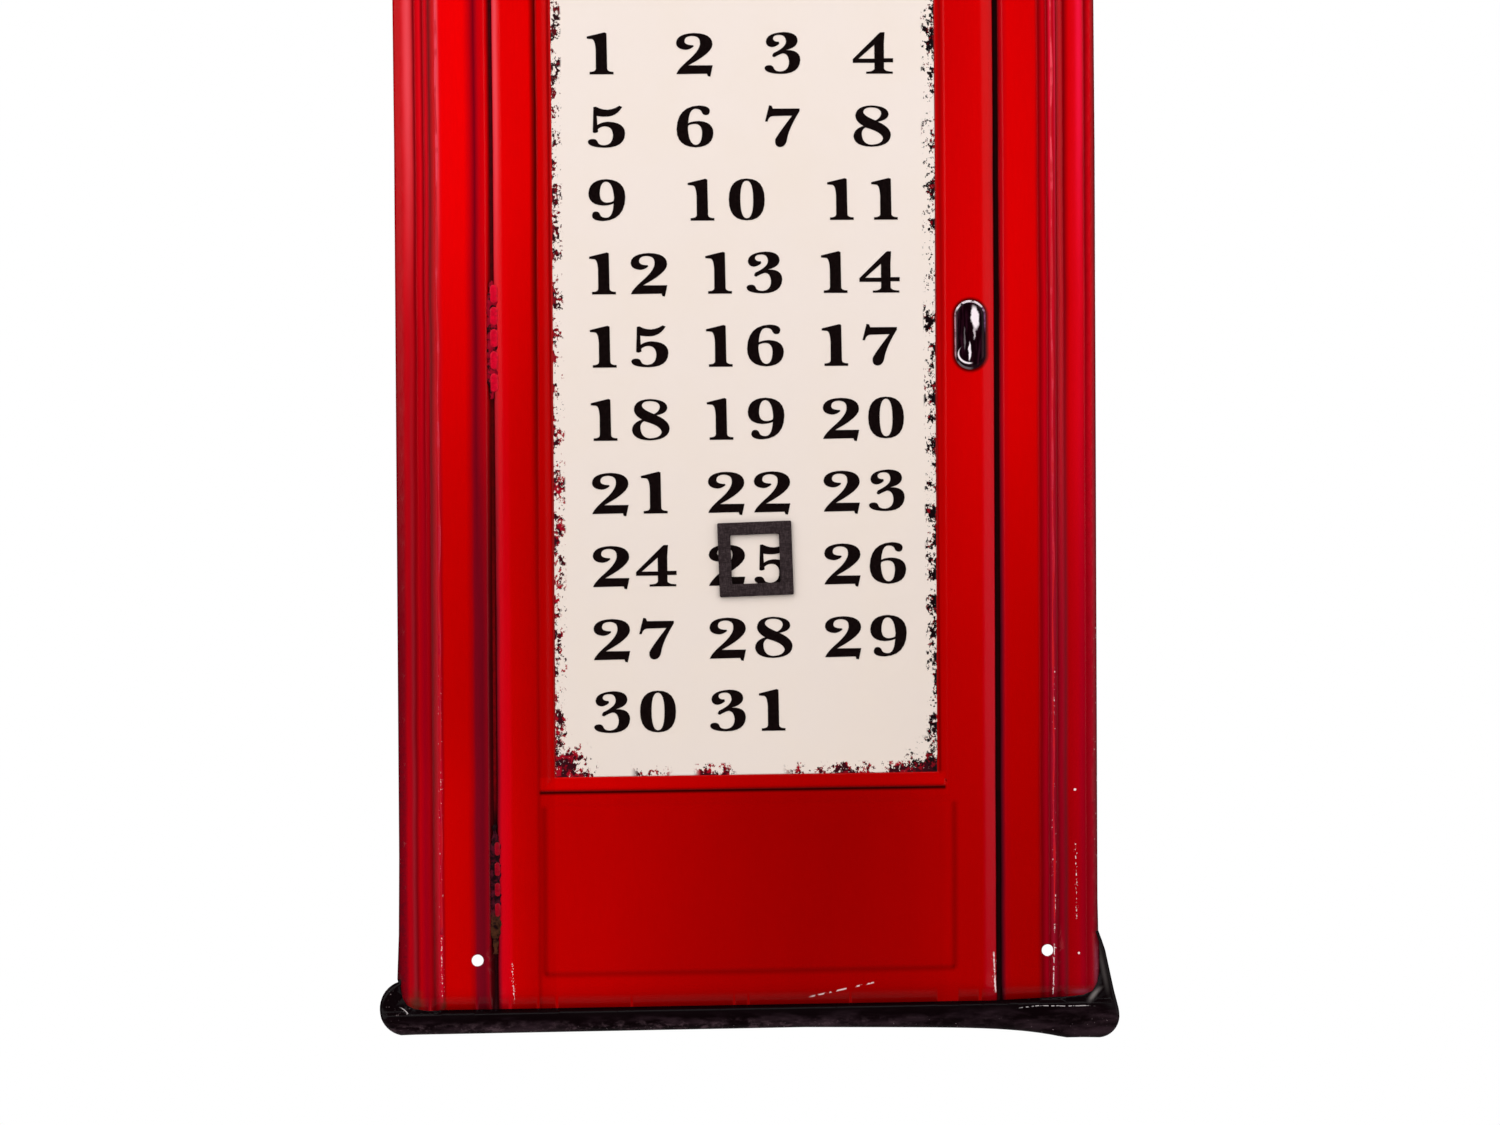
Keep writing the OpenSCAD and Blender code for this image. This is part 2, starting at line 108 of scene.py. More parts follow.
PLINTH_TOP = 8.4
PLINTH_RISE = PLINTH_D - FRAME_D
CORNICE_Z = extent("column_line_print")[1][2] + 2
CORNICE_TOP = CORNICE_Z + CORNICE_H
ROOF_RISE = BODY_H - CORNICE_TOP
ROOF_R = (HALF_W**2 + ROOF_RISE**2) / (2 * ROOF_RISE)
ROOF_Z = BODY_H - ROOF_R
RIB_W = COLUMN_W * 0.7
FOOT_DROP = -PLATE_LOW
FRAME_SLOPE = FRAME_D - GAP_D
SIGN_SLOPE = FRAME_D - LEAF_D
LEAF_SLOPE = 0.35

(HANDLE_L, _, HANDLE_LOW), (HANDLE_R, _, HANDLE_TOP) = extent("pull_handle_print")
HANDLE_X, HANDLE_Z = (HANDLE_L + HANDLE_R) / 2 - 0.4, (HANDLE_LOW + HANDLE_TOP) / 2
HANDLE_HALF_W, HANDLE_HALF_H = (HANDLE_R - HANDLE_L) / 2, (HANDLE_TOP - HANDLE_LOW) / 2

bolts = next(m for m in frame["record"]["mounts"] if m["kind"] == "bolt_pattern")
HOLE_R = bolts["dims"]["hole_r_mm"]
HOLES = [(bolts["pos_m"][0] / MM + sx * bolts["dims"]["spacing_x_mm"] / 2,
          bolts["pos_m"][2] / MM + sz * bolts["dims"]["spacing_y_mm"] / 2)
         for sx in (-1, 1) for sz in (-1, 1)]

# Pressed lines that run up the columns and posts: place, half width, depth
GROOVES = [(-112.5, 0.9, 0.15), (-109.6, 0.7, 0.12), (-107.5, 0.8, 0.15), (-92.4, 1.5, 0.15),
           (99.5, 1.0, 0.13), (102.4, 0.6, 0.12), (105.5, 0.8, 0.15), (108.0, 0.8, 0.13),
           (115.0, 0.8, 0.13)]
# Pressed lines on the door: the moulding round the calendar and the lower panel
MOULDING_L, MOULDING_R, MOULDING_Z = -71.8, 66.8, 81.4
MOULDING_TOP = FIELD_TOP + 5
PANEL_L, PANEL_R, PANEL_LOW, PANEL_TOP = -70.2, 69.6, 19.5, 76.5
MOULDING_HALF, PANEL_HALF = 0.9, 1.1
# The cornice: its rounded edge, and the height of its pressed line as a share of its own
CORNICE_EDGE, CORNICE_STEP = 1.2, 0.35
# Widest spacing of the front's grid points
GRID_STEP = 5.0


def share(t):
    """t, kept between 0 and 1."""
    return min(max(t, 0.0), 1.0)


def ease(t):
    """0 to 1 with a soft start and end."""
    t = share(t)
    return t * t * (3 - 2 * t)


LEAN = 0.0047
LEAN_MIDDLE = 181.0
LEAN_END = 300.0


def lean(z):
    """The picture leans a little to the left towards the foot."""
    return LEAN * (min(z, LEAN_END) - LEAN_MIDDLE)


# ---- the outline of the plate ----

def arc(cx, cz, r, start, end, step=1.3):
    """Points on an arc, angles in degrees."""
    n = max(3, round(abs(math.radians(end - start)) * r / step))
    angles = [math.radians(start + (end - start) * i / n) for i in range(n + 1)]
    return [(cx + r * math.cos(a), cz + r * math.sin(a)) for a in angles]


def run(points, step=3.0):
    """The points with more put between them, no further apart than step."""
    out = []
    for (x0, z0), (x1, z1) in zip(points, points[1:]):
        n = max(1, math.ceil(math.hypot(x1 - x0, z1 - z0) / step))
        out += [(x0 + (x1 - x0) * i / n, z0 + (z1 - z0) * i / n) for i in range(n)]
    return out + [points[-1]]


def sag(x):
    """Height of the bottom edge, which drops towards the lower right foot."""
    t = share((x - HALF_W * 0.15) / (HALF_W * 0.75))
    return 0.3 - (FOOT_DROP + 0.1) * (0.35 * t + 0.65 * t**6)


LEFT_FOOT = (PLATE_L + LEFT_FOOT_R - lean(LEFT_FOOT_R), LEFT_FOOT_R)
RIGHT_FOOT = (PLATE_R - RIGHT_FOOT_R - lean(5), PLATE_LOW + RIGHT_FOOT_R)
SIDE_L = -HALF_W - 0.4
SIDE_R = HALF_W - 0.25


def outline():
    """The plate's edge before the lean, anticlockwise as the picture is seen."""
    r = 2.0
    base = [(x, sag(x)) for x in np.arange(LEFT_FOOT[0] + 3, RIGHT_FOOT[0] - 2, 3.0)]
    side_r = [(RIGHT_FOOT[0] + RIGHT_FOOT_R - 0.3, 4.8), (HALF_W + 2.5, 24.5),
              (HALF_W + 1.4, 27.8), (HALF_W, 31.5), (SIDE_R, 42), (SIDE_R, CORNICE_Z)]
    side_l = [(SIDE_L, CORNICE_Z), (SIDE_L, 60), (SIDE_L - 0.3, 34), (SIDE_L - 0.9, 19)]
    cornice_r = (arc(HALF_W + CORNICE_OUT - r, CORNICE_Z + r, r, -90, 0)
                 + arc(HALF_W + CORNICE_OUT - r, CORNICE_TOP - r, r, 0, 90))
    cornice_l = [(-x, z) for x, z in reversed(cornice_r)]
    eave = math.degrees(math.atan2(CORNICE_TOP - ROOF_Z, HALF_W))
    return (base + arc(*RIGHT_FOOT, RIGHT_FOOT_R, -86, 8) + run(side_r) + cornice_r
            + arc(0, ROOF_Z, ROOF_R, eave, 180 - eave, 3.0) + cornice_l + run(side_l)
            + arc(*LEFT_FOOT, LEFT_FOOT_R, 108, 258))


def outward(path):
    """Unit normals of a closed anticlockwise path."""
    p = np.array(path)
    along = np.roll(p, -1, 0) - np.roll(p, 1, 0)
    across = np.stack([along[:, 1], -along[:, 0]], 1)
    return across / np.linalg.norm(across, axis=1)[:, None]


# ---- the relief ----

def rect_inside(x, z, left, right, low, top):
    """How far a point is inside a rectangle, negative outside."""
    return min(x - left, right - x, z - low, top - z)


def line_dip(distance, half_width, deep):
    """Depth of a round-bottomed pressed line, at a distance from its middle."""
    t = share(1 - abs(distance) / half_width)
    return deep * t * t * (3 - 2 * t)


def relief(x, z):
    """Depth of the sheet's front at a point of the picture."""
    if z > CORNICE_TOP:
        r = math.hypot(x, z - ROOF_Z)
        rib = min(ROOF_R - r, r - (ROOF_R - RIB_W)) / FLANK
        eaves = (CORNICE_D - FRAME_D) * ease(1 - (z - CORNICE_TOP) / 0.6)
        return FRAME_D + max((COLUMN_D - FRAME_D) * ease(rib), eaves)
    if z > CORNICE_Z:
        side = HALF_W + CORNICE_OUT - abs(x)
        t = min(z - CORNICE_Z, CORNICE_TOP - z + CORNICE_EDGE, side) / CORNICE_EDGE
        step = line_dip(z - CORNICE_Z - CORNICE_H * CORNICE_STEP, MOULDING_HALF, 0.35)
        return FRAME_D + (CORNICE_D - FRAME_D) * ease(t) - step
    side = HALF_W - abs(x)
    d = FRAME_D + (COLUMN_D - FRAME_D) * ease(min(side, COLUMN_W - side) / FLANK)
    d -= sum(line_dip(x - at, half, deep) for at, half, deep in GROOVES)
    opening = rect_inside(x, z, GAP_L, GAP_R, -HALF_W, DOOR_TOP)
    leaf = rect_inside(x, z, DOOR_L, DOOR_R, -HALF_W, LEAF_TOP)
    field = rect_inside(x, z, *FIELD)
    d += (GAP_D - d) * ease(1 + opening / FRAME_SLOPE)
    if leaf > 0:
        d = GAP_D + (LEAF_D - GAP_D) * ease(leaf / LEAF_SLOPE)
        moulding = rect_inside(x, z, MOULDING_L, MOULDING_R, MOULDING_Z, MOULDING_TOP)
        panel = rect_inside(x, z, PANEL_L, PANEL_R, PANEL_LOW, PANEL_TOP)
        d -= line_dip(moulding, MOULDING_HALF, 0.2) + line_dip(panel, PANEL_HALF, 0.07)
        d += (FIELD_D - d) * ease(1 + field / BEVEL)
    sign = rect_inside(x, z, *SIGN)
    d -= (FRAME_D - LEAF_D) * ease(1 + sign / SIGN_SLOPE)
    plinth = FRAME_D + PLINTH_RISE * ease((PLINTH_TOP - z) / PLINTH_RISE)
    return max(d, plinth) if z < PLINTH_TOP else d


# ---- the sheet's surface ----

def grid_lines(low, high, step, details):
    """Places of grid lines: those that the details need, and more no further apart than step."""
    fixed = [low, high]
    for middle, half, n in details:
        fixed += [middle + half * (2 * i / n - 1) for i in range(n + 1)]
    lines = []
    for at in sorted(v for v in fixed if low <= v <= high):
        if not lines or at - lines[-1] > 0.12:
            lines.append(at)
    out = []
    for a, b in zip(lines, lines[1:]):
        n = max(1, math.ceil((b - a) / step))
        out += [a + (b - a) * i / n for i in range(n)]
    return out + [lines[-1]]


def flank(start, width):
    """A slope between start and start + width, as a detail for the grid."""
    return start + width / 2, width / 2, 6


def grid():
    """Every grid point of the front, before the lean."""
    col = HALF_W - COLUMN_W
    slopes_x = [
        (-HALF_W, FLANK), (-col - FLANK, FLANK), (HALF_W - FLANK, FLANK), (col, FLANK),
        (GAP_L - FRAME_SLOPE, FRAME_SLOPE), (GAP_R, FRAME_SLOPE), (GAP_L, HINGE_GAP),
        (DOOR_R, DOOR_GAP), (DOOR_L, LEAF_SLOPE), (DOOR_R - LEAF_SLOPE, LEAF_SLOPE),
        (FIELD_L - BEVEL, BEVEL), (FIELD_R, BEVEL),
        (SIGN_L - SIGN_SLOPE, SIGN_SLOPE), (SIGN_R, SIGN_SLOPE)]
    slopes_z = [
        (PLINTH_TOP - PLINTH_RISE, PLINTH_RISE), (FIELD_Z - BEVEL, BEVEL), (FIELD_TOP, BEVEL),
        (LEAF_TOP - LEAF_SLOPE, LEAF_SLOPE), (LEAF_TOP, DOOR_GAP), (DOOR_TOP, FRAME_SLOPE),
        (SIGN_Z - SIGN_SLOPE, SIGN_SLOPE), (SIGN_TOP, SIGN_SLOPE), (CORNICE_Z, CORNICE_EDGE),
        (CORNICE_TOP - CORNICE_EDGE / 2, CORNICE_EDGE)]
    details_x = [flank(*slope) for slope in slopes_x] + [(at, half, 6) for at, half, _ in GROOVES]
    details_x += [(at, MOULDING_HALF, 4) for at in (MOULDING_L, MOULDING_R)]
    details_x += [(at, PANEL_HALF, 4) for at in (PANEL_L, PANEL_R)]
    details_x += [(FIELD_L + 0.2, 0.2, 1), (FIELD_R - 0.2, 0.2, 1)]
    details_z = [flank(*slope) for slope in slopes_z]
    details_z += [(at, MOULDING_HALF, 4)
                  for at in (MOULDING_Z, MOULDING_TOP, CORNICE_Z + CORNICE_H * CORNICE_STEP)]
    details_z += [(at, PANEL_HALF, 4) for at in (PANEL_LOW, PANEL_TOP)]
    details_z += [(FIELD_Z + 0.2, 0.2, 1), (FIELD_TOP - 0.2, 0.2, 1)]
    xs = grid_lines(-HALF_W - 8, HALF_W + 8, GRID_STEP, details_x)
    zs = grid_lines(-6, BODY_H, GRID_STEP, details_z)
    return np.array([(x, z) for z in zs for x in xs])


def inside(points, loop):
    """Which points lie inside a closed loop."""
    x, z = points[:, 0], points[:, 1]
    hit = np.zeros(len(points), bool)
    for (x0, z0), (x1, z1) in zip(loop, np.roll(loop, -1, 0)):
        if z0 != z1:
            hit ^= ((z0 > z) != (z1 > z)) & (x < (x1 - x0) * (z - z0) / (z1 - z0) + x0)
    return hit


def clear_of(points, path, gap):
    """Which points keep a gap from every point of a path."""
    keep = np.ones(len(points), bool)
    for at in path:
        keep &= np.hypot(points[:, 0] - at[0], points[:, 1] - at[1]) > gap
    return keep


# Where the red meets the black of the plinth, before the lean
PLINTH_LINE = ([(-119.0, 16.6), (-118.8, 14.4), (-118.3, 12.4), (-117.0, 10.5), (-114.6, 9.1)]
               + run([(-110, PLINTH_TOP), (82, 8.1), (106, 9.0), (113.5, 9.7)], 1.6)
               + [(116.6, 11.0), (118.4, 13.6), (119.2, 17.5), (119.3, 24), (119.1, 28)])
PLINTH_END_L, PLINTH_END_R = (-119.6, 18.2), (119.1, 31.5)


class Sheet:
    """The front and the turned-back rim of the plate as one surface, without a thickness."""

    def __init__(self):
        edge = np.array(outline())
        normal = outward(edge)
        front_ring = edge - normal * (COAT + EDGE_R)
        n = len(edge)
        holes = [self.hole_rings(x - lean(z), z) for x, z in HOLES]
        self.join_l, self.join_r = (int(np.argmin(np.hypot(*(front_ring - end).T)))
                                    for end in (PLINTH_END_L, PLINTH_END_R))
        flat = self.triangles(front_ring, holes)
        depth = [relief(x, z) for x, z in flat]
        self.points = [(x + lean(z), d, z) for (x, z), d in zip(flat, depth)]
        self.flat = list(map(tuple, flat))
        self.add_rim(edge, normal, n, depth)
        self.normals = self.vertex_normals()

    @staticmethod
    def hole_rings(x, z):
        return [arc(x, z, r, 0, 360 - 360 / 32, 0.4) for r in (HOLE_R, HOLE_R + 0.5, HOLE_R + 1.4)]

    def triangles(self, ring, holes):
        """The front's flat points, the edge ring first, and its faces."""
        points, links = [], []

        def add(path, closed):
            first, n = len(points), len(path)
            points.extend(path)
            links.extend((first + i, first + (i + 1) % n) for i in range(n if closed else n - 1))
            return first

        add([tuple(p) for p in ring], True)
        for rings in holes:
            for loop in rings:
                add(loop, True)
        first = add(PLINTH_LINE, False)
        links += [(self.join_l, first), (len(points) - 1, self.join_r)]
        for x, out in ((FIELD_L, -1), (FIELD_R, 1)):
            for z, up in ((FIELD_Z, -1), (FIELD_TOP, 1)):
                add([(x + out * BEVEL * i / 6, z + up * BEVEL * i / 6) for i in range(7)], False)
        eave = math.degrees(math.acos((HALF_W - 1) / ROOF_R)) - 3
        for inset in [RIB_W - FLANK * i / 5 for i in range(6)] + [FLANK * i / 5 for i in (4, 5)]:
            band = arc(0, ROOF_Z, ROOF_R - inset, eave, 180 - eave, 3.0)
            points += [p for p in band if p[1] > CORNICE_TOP + 1.0]
        fixed = np.array(points)
        fill = grid()
        fill = fill[inside(fill, ring)]
        fill = fill[clear_of(fill, ring, 0.9) & clear_of(fill, PLINTH_LINE, 0.7)]
        for x, z in HOLES:
            fill = fill[clear_of(fill, [(x - lean(z), z)], HOLE_R + 2.0)]
        r = np.hypot(fill[:, 0], fill[:, 1] - ROOF_Z)
        on_rib = (fill[:, 1] > CORNICE_TOP + 0.8) & (r > ROOF_R - RIB_W - 0.8)
        fill = fill[~on_rib]
        everything = [Vector(p) for p in np.vstack([fixed, fill])]
        flat, _, faces, sources, _, _ = delaunay_2d_cdt(everything, links, [], 0, 1e-4)
        flat = np.array([tuple(v) for v in flat])
        self.ring_index = {}
        for index, source in enumerate(sources):
            for k in source:
                if k < len(ring):
                    self.ring_index[k] = index
        faces = np.array([f for f in faces if len(f) == 3])
        middle = flat[faces].mean(1)
        keep = inside(middle, ring)
        for x, z in HOLES:
            keep &= np.hypot(middle[:, 0] - x + lean(z), middle[:, 1] - z) > HOLE_R * 0.99
        self.faces = [tuple(int(i) for i in f) for f in faces[keep]]
        self.regions = self.front_regions(middle[keep])
        return flat

    @staticmethod
    def front_regions(middle):
        """The print that each front face carries."""
        below = np.array(PLINTH_LINE + [(140, 33), (140, -40), (-140, -40), (-140, PLINTH_END_L[1])])
        plinth = inside(middle, below)
        out = []
        for (x, z), low in zip(middle, plinth):
            across = GAP_L < x < DOOR_L or DOOR_R < x < GAP_R
            over = GAP_L < x < GAP_R and LEAF_TOP < z < DOOR_TOP
            if low:
                out.append("plinth")
            elif rect_inside(x, z, *FIELD) > 0:
                out.append("field")
            elif rect_inside(x, z, *SIGN) > 0:
                out.append("sign")
            elif over or (across and z < DOOR_TOP):
                out.append("gap")
            else:
                out.append("red")
        return out

    def add_rim(self, edge, normal, n, depth):
        """Rounds the edge back to the wall and turns a narrow hem inwards."""
        start = [self.ring_index[i] for i in range(n)]
        front = [depth[i] for i in start]
        hem_r = 0.8
        steps = []
        for k in range(1, 5):
            a = math.radians(22.5 * k)
            steps.append((COAT + EDGE_R * (1 - math.sin(a)), -EDGE_R * (1 - math.cos(a)), True))
        steps += [(COAT, 2.2, False), (COAT, hem_r, False)]
        for k in range(1, 4):
            a = math.radians(30 * k)
            steps.append((COAT + hem_r * (1 - math.cos(a)), hem_r * (1 - math.sin(a)), False))
        steps.append((COAT + HEM, 0.0, False))
        previous = start
        for number, (inset, level, from_front) in enumerate(steps):
            ring = []
            for i in range(n):
                x, z = edge[i] - normal[i] * inset
                d = front[i] + level if from_front else level
                ring.append(len(self.points))
                self.points.append((x + lean(z), d, z))
                self.flat.append((x, z))
            for i in range(n):
                j = (i + 1) % n
                self.faces.append((previous[i], ring[i], ring[j], previous[j]))
                black = i < self.join_r or i >= self.join_l
                coat = "plinth" if black else "red"
                self.regions.append(coat if number < 6 else "back")
            previous = ring

    def vertex_normals(self):
        """Outward normals in x, depth, z, each face weighted by its area."""
        p = np.array(self.points)
        total = np.zeros_like(p)
        for f in self.faces:
            a, b, c = p[f[0]], p[f[1]], p[f[2]]
            across = np.cross(b - a, c - a) if len(f) == 3 else np.cross(c - a, p[f[3]] - b)
            for i in f:
                total[i] -= across
        length = np.linalg.norm(total, axis=1)
        length[length == 0] = 1
        return total / length[:, None]


def to_world(x, depth, z):
    return Vector((x * MM, -depth * MM, z * MM))


def new_piece(name, points, faces, finish, body="plate"):
    """A mesh object from points (x, depth, z) in millimetres, riding on a body."""
    mesh = bpy.data.meshes.new(name)
    mesh.from_pydata([to_world(*p) for p in points], [], faces)
    mesh.update()
    mesh.shade_smooth()
    piece = bpy.data.objects.new(name, mesh)
    bpy.context.scene.collection.objects.link(piece)
    mesh.materials.append(finish)
    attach(piece, body)
    return piece


def thicken(piece, thickness):
    """Gives a surface a thickness, inwards from its front."""
    solid = piece.modifiers.new("thickness", "SOLIDIFY")
    solid.thickness = thickness * MM
    solid.offset = -1
    return piece


def coat_piece(name, sheet, region, finish):
    """The thin coat that the sheet carries in one region."""
    faces = [f for f, r in zip(sheet.faces, sheet.regions) if r == region]
    used = sorted({i for f in faces for i in f})
    place = {old: new for new, old in enumerate(used)}
    points = [np.array(sheet.points[i]) + sheet.normals[i] * COAT for i in used]
    return thicken(new_piece(name, points, [tuple(place[i] for i in f) for f in faces], finish),
                   COAT_SKIN)


# ---- shader maths ----

def linear(r, g, b):
    """A colour given in display values, 0 to 255, as the renderer's linear colour."""
    def one(v):
        v /= 255
        return v / 12.92 if v <= 0.04045 else ((v + 0.055) / 1.055) ** 2.4
    return one(r), one(g), one(b), 1.0


def arithmetic(operation):
    """A method of Num that adds one Math node."""
    return lambda self, *others: self.math(operation, *others)


class Num:
    """A number that varies over the surface. Its arithmetic adds Math nodes."""

    def __init__(self, finish, socket):
        self.finish, self.socket = finish, socket

    def math(self, operation, *others):
        made = self.finish.node("Math", {"operation": operation}, dict(enumerate((self, *others))))
        return Num(self.finish, made.outputs[0])

    __add__ = __radd__ = arithmetic("ADD")
    __sub__ = arithmetic("SUBTRACT")
    __mul__ = __rmul__ = arithmetic("MULTIPLY")
    __truediv__ = arithmetic("DIVIDE")
    __abs__ = arithmetic("ABSOLUTE")
    lowest = arithmetic("MINIMUM")

    def __rsub__(self, other):
        return self * -1.0 + other

    def highest(self, *others):
        out = self
        for other in others:
            out = out.math("MAXIMUM", other)
        return out

    def rise(self, start, end, low=0.0, high=1.0):
        """Goes smoothly from low to high as the number goes from start to end."""
        inputs = {"Value": self, "From Min": start, "From Max": end, "To Min": low, "To Max": high}
        settings = {"interpolation_type": "SMOOTHSTEP"}
        return Num(self.finish, self.finish.node("MapRange", settings, inputs).outputs[0])

    def near(self, middle, half):
        """1 at middle, falling smoothly to 0 at half from it."""
        return abs(self - middle).rise(half, 0.0)

    def between(self, low, high, soft):
        """1 between low and high, with soft ends."""
        return self.rise(low - soft, low + soft) * self.rise(high + soft, high - soft)


class Finish:
    """A material and the ways to add nodes to it."""

    def __init__(self, name):
        self.material = bpy.data.materials.new(name)
        self.material.use_nodes = True
        self.tree = self.material.node_tree
        self.shader = self.tree.nodes["Principled BSDF"]
        place = self.node("TexCoord").outputs["Object"]
        parts = self.node("SeparateXYZ", inputs={0: place})
        self.place = place
        self.x = Num(self, parts.outputs[0]) * (1 / MM)
        self.z = Num(self, parts.outputs[2]) * (1 / MM)

    def node(self, kind, settings=None, inputs=None):
        """Adds a node, sets it up, then gives its inputs their values or links."""
        made = self.tree.nodes.new("ShaderNode" + kind)
        for key, value in (settings or {}).items():
            if key == "stops":
                self.set_stops(made.color_ramp, value)
            else:
                setattr(made, key, value)
        for key, value in (inputs or {}).items():
            self.feed(made.inputs[key], value)
        return made

    def feed(self, socket, value):
        value = getattr(value, "socket", value)
        if isinstance(value, bpy.types.NodeSocket):
            self.tree.links.new(value, socket)
        else:
            socket.default_value = value

    @staticmethod
    def set_stops(ramp, stops):
        while len(ramp.elements) < len(stops):
            ramp.elements.new(1.0)
        for element, (at, color) in zip(ramp.elements, stops):
            element.position = at
            element.color = color

    def noise(self, scale, detail=3.0, roughness=0.5, stretch=(1, 1, 1), shift=0.0):
        """Noise from 0 to 1. The scale is in cycles per millimetre."""
        at = self.node("VectorMath", {"operation": "MULTIPLY_ADD"},
                       {0: self.place, 1: [v / MM for v in stretch], 2: (shift, shift, shift)})
        made = self.node("TexNoise", {"noise_dimensions": "3D"},
                         {"Vector": at.outputs[0], "Scale": scale, "Detail": detail,
                          "Roughness": roughness})
        return Num(self, made.outputs[0])

    def ramp(self, number, places, colors):
        """A colour that follows a number through stops at the given places."""
        low, high = places[0], places[-1]
        stops = [((at - low) / (high - low), linear(*c)) for at, c in zip(places, colors)]
        at = (number - low) / (high - low)
        return self.node("ValToRGB", {"stops": stops}, {0: at}).outputs[0]

    def mix(self, share_of_b, a, b):
        """Mixes two colours, each a socket or a tuple of display values, 0 to 255."""
        a, b = (linear(*c) if isinstance(c, tuple) else c for c in (a, b))
        return self.node("Mix", {"data_type": "RGBA"}, {0: share_of_b, 6: a, 7: b}).outputs[2]

    def scale(self, color, number):
        return self.node("VectorMath", {"operation": "SCALE"}, {0: color, "Scale": number}).outputs[0]

    def bump(self, height, distance, strength=1.0):
        made = self.node("Bump", None,
                         {"Height": height, "Distance": distance * MM, "Strength": strength})
        self.feed(self.shader.inputs["Normal"], made.outputs[0])

    def set(self, **values):
        for name, value in values.items():
            self.feed(self.shader.inputs[name.replace("_", " ")], value)
        return self.material

    def paint(self, color, roughness, shine):
        return self.set(Base_Color=color, Roughness=roughness, Specular_IOR_Level=shine)


# ---- finishes ----

TOP_LOOK, LOW_LOOK = 310, 118


def upright(finish):
    """Distance across the picture, with the lean and the wobble of the print taken out."""
    wobble = (finish.noise(0.03, 2, stretch=(0.2, 1, 1)) - 0.5) * 0.9
    return finish.x - (finish.z.lowest(LEAN_END) - LEAN_MIDDLE) * LEAN + wobble


# Colours across the left column, post and stile, high up and near the foot
LEFT_HIGH = [
    (-119.6, 140, 0, 4), (-118.6, 186, 0, 8), (-117, 196, 0, 12), (-115.8, 214, 12, 24),
    (-113.4, 206, 8, 20), (-112.5, 112, 0, 8), (-111.6, 196, 0, 12), (-110.5, 222, 10, 24),
    (-109.6, 128, 0, 8), (-108.5, 212, 14, 28), (-107.4, 112, 0, 6), (-106.3, 196, 0, 8),
    (-104.8, 226, 14, 26), (-103.2, 238, 0, 4), (-96, 241, 0, 2), (-94, 196, 0, 10),
    (-92.4, 120, 0, 18), (-90.9, 196, 0, 12), (-88.4, 226, 0, 6), (-87.6, 120, 0, 6),
    (-86, 226, 26, 42), (-84.6, 232, 8, 18), (-83.6, 224, 0, 2), (-74, 221, 0, 1), (-72.8, 140, 0, 0),
    (-71.9, 74, 0, 0), (-70.8, 206, 0, 2), (-66.5, 198, 0, 2)]
LEFT_LOW = [
    (-120, 60, 0, 8), (-118.9, 104, 2, 14), (-117, 128, 2, 18), (-116, 168, 2, 14),
    (-114.9, 160, 4, 20), (-114.1, 140, 26, 36), (-113.2, 118, 2, 12), (-112, 172, 0, 10),
    (-110.4, 146, 0, 20), (-108.9, 150, 0, 12), (-107.6, 108, 0, 8), (-106.6, 160, 0, 16),
    (-105.3, 196, 14, 38), (-104.4, 146, 0, 8), (-103.6, 188, 0, 0), (-96, 184, 0, 0),
    (-94.2, 158, 0, 6), (-93.2, 116, 6, 24), (-90.8, 104, 6, 22), (-89.4, 132, 4, 20),
    (-88.2, 60, 6, 10), (-86.2, 60, 6, 10), (-85.5, 140, 8, 26), (-84.6, 200, 2, 20),
    (-81.8, 200, 0, 12), (-80.8, 186, 0, 0), (-73, 170, 0, 0), (-72, 146, 0, 0), (-70.9, 168, 0, 0),
    (-66.5, 176, 0, 0)]
RIGHT_HIGH = [
    (64.5, 196, 0, 2), (65.8, 150, 0, 2), (67.2, 204, 0, 2), (82.2, 212, 0, 2), (83.5, 196, 0, 8),
    (84.1, 40, 0, 2), (85.6, 40, 0, 2), (86.4, 180, 2, 14), (89, 216, 0, 2), (98, 212, 0, 2),
    (99.5, 128, 0, 6), (101, 196, 0, 12), (102.4, 132, 0, 8), (103.5, 222, 14, 34), (105.4, 116, 0, 6),
    (106.6, 192, 0, 14), (107.9, 118, 0, 6), (109.6, 206, 0, 6), (112.8, 222, 8, 26), (114, 206, 4, 20),
    (115, 128, 0, 8), (116.7, 204, 4, 16), (118.2, 120, 4, 12), (119.2, 54, 0, 6)]
RIGHT_LOW = [
    (64.5, 158, 0, 0), (67.2, 164, 0, 0), (79, 166, 0, 0), (80.6, 172, 0, 14), (83.5, 176, 0, 20),
    (84.1, 30, 0, 2), (85.6, 24, 0, 2), (86.2, 84, 10, 26), (87.2, 160, 0, 8), (89, 162, 0, 0),
    (98, 160, 0, 0), (99.8, 112, 0, 8), (101.2, 150, 0, 22), (102.4, 112, 0, 10), (103.6, 150, 18, 40),
    (105.2, 104, 0, 10), (106.6, 146, 0, 24), (107.8, 110, 16, 26), (108.9, 152, 0, 6),
    (112, 160, 0, 12), (113.4, 150, 0, 22), (115.2, 130, 0, 12), (116.8, 146, 8, 26),
    (118, 112, 10, 22), (119.3, 40, 0, 6)]
PANEL_BAND = [
    (-66.5, 181, 0, 0), (-50, 179, 0, 0), (-17, 164, 0, 0), (17, 152, 0, 0), (36, 152, 0, 0),
    (64.5, 160, 0, 0)]
HEADER_BAND = [
    (-124, 216, 0, 4), (-60, 226, 0, 3), (60, 214, 0, 2), (124, 196, 0, 4)]


def band(finish, number, stops):
    """A colour that follows a number through stops of place, red, green and blue."""
    return finish.ramp(number, [stop[0] for stop in stops], [stop[1:] for stop in stops])


def reach(a, b):
    """Length of a vector from its two parts."""
    return (a.math("POWER", 2.0) + b.math("POWER", 2.0)).math("SQRT")


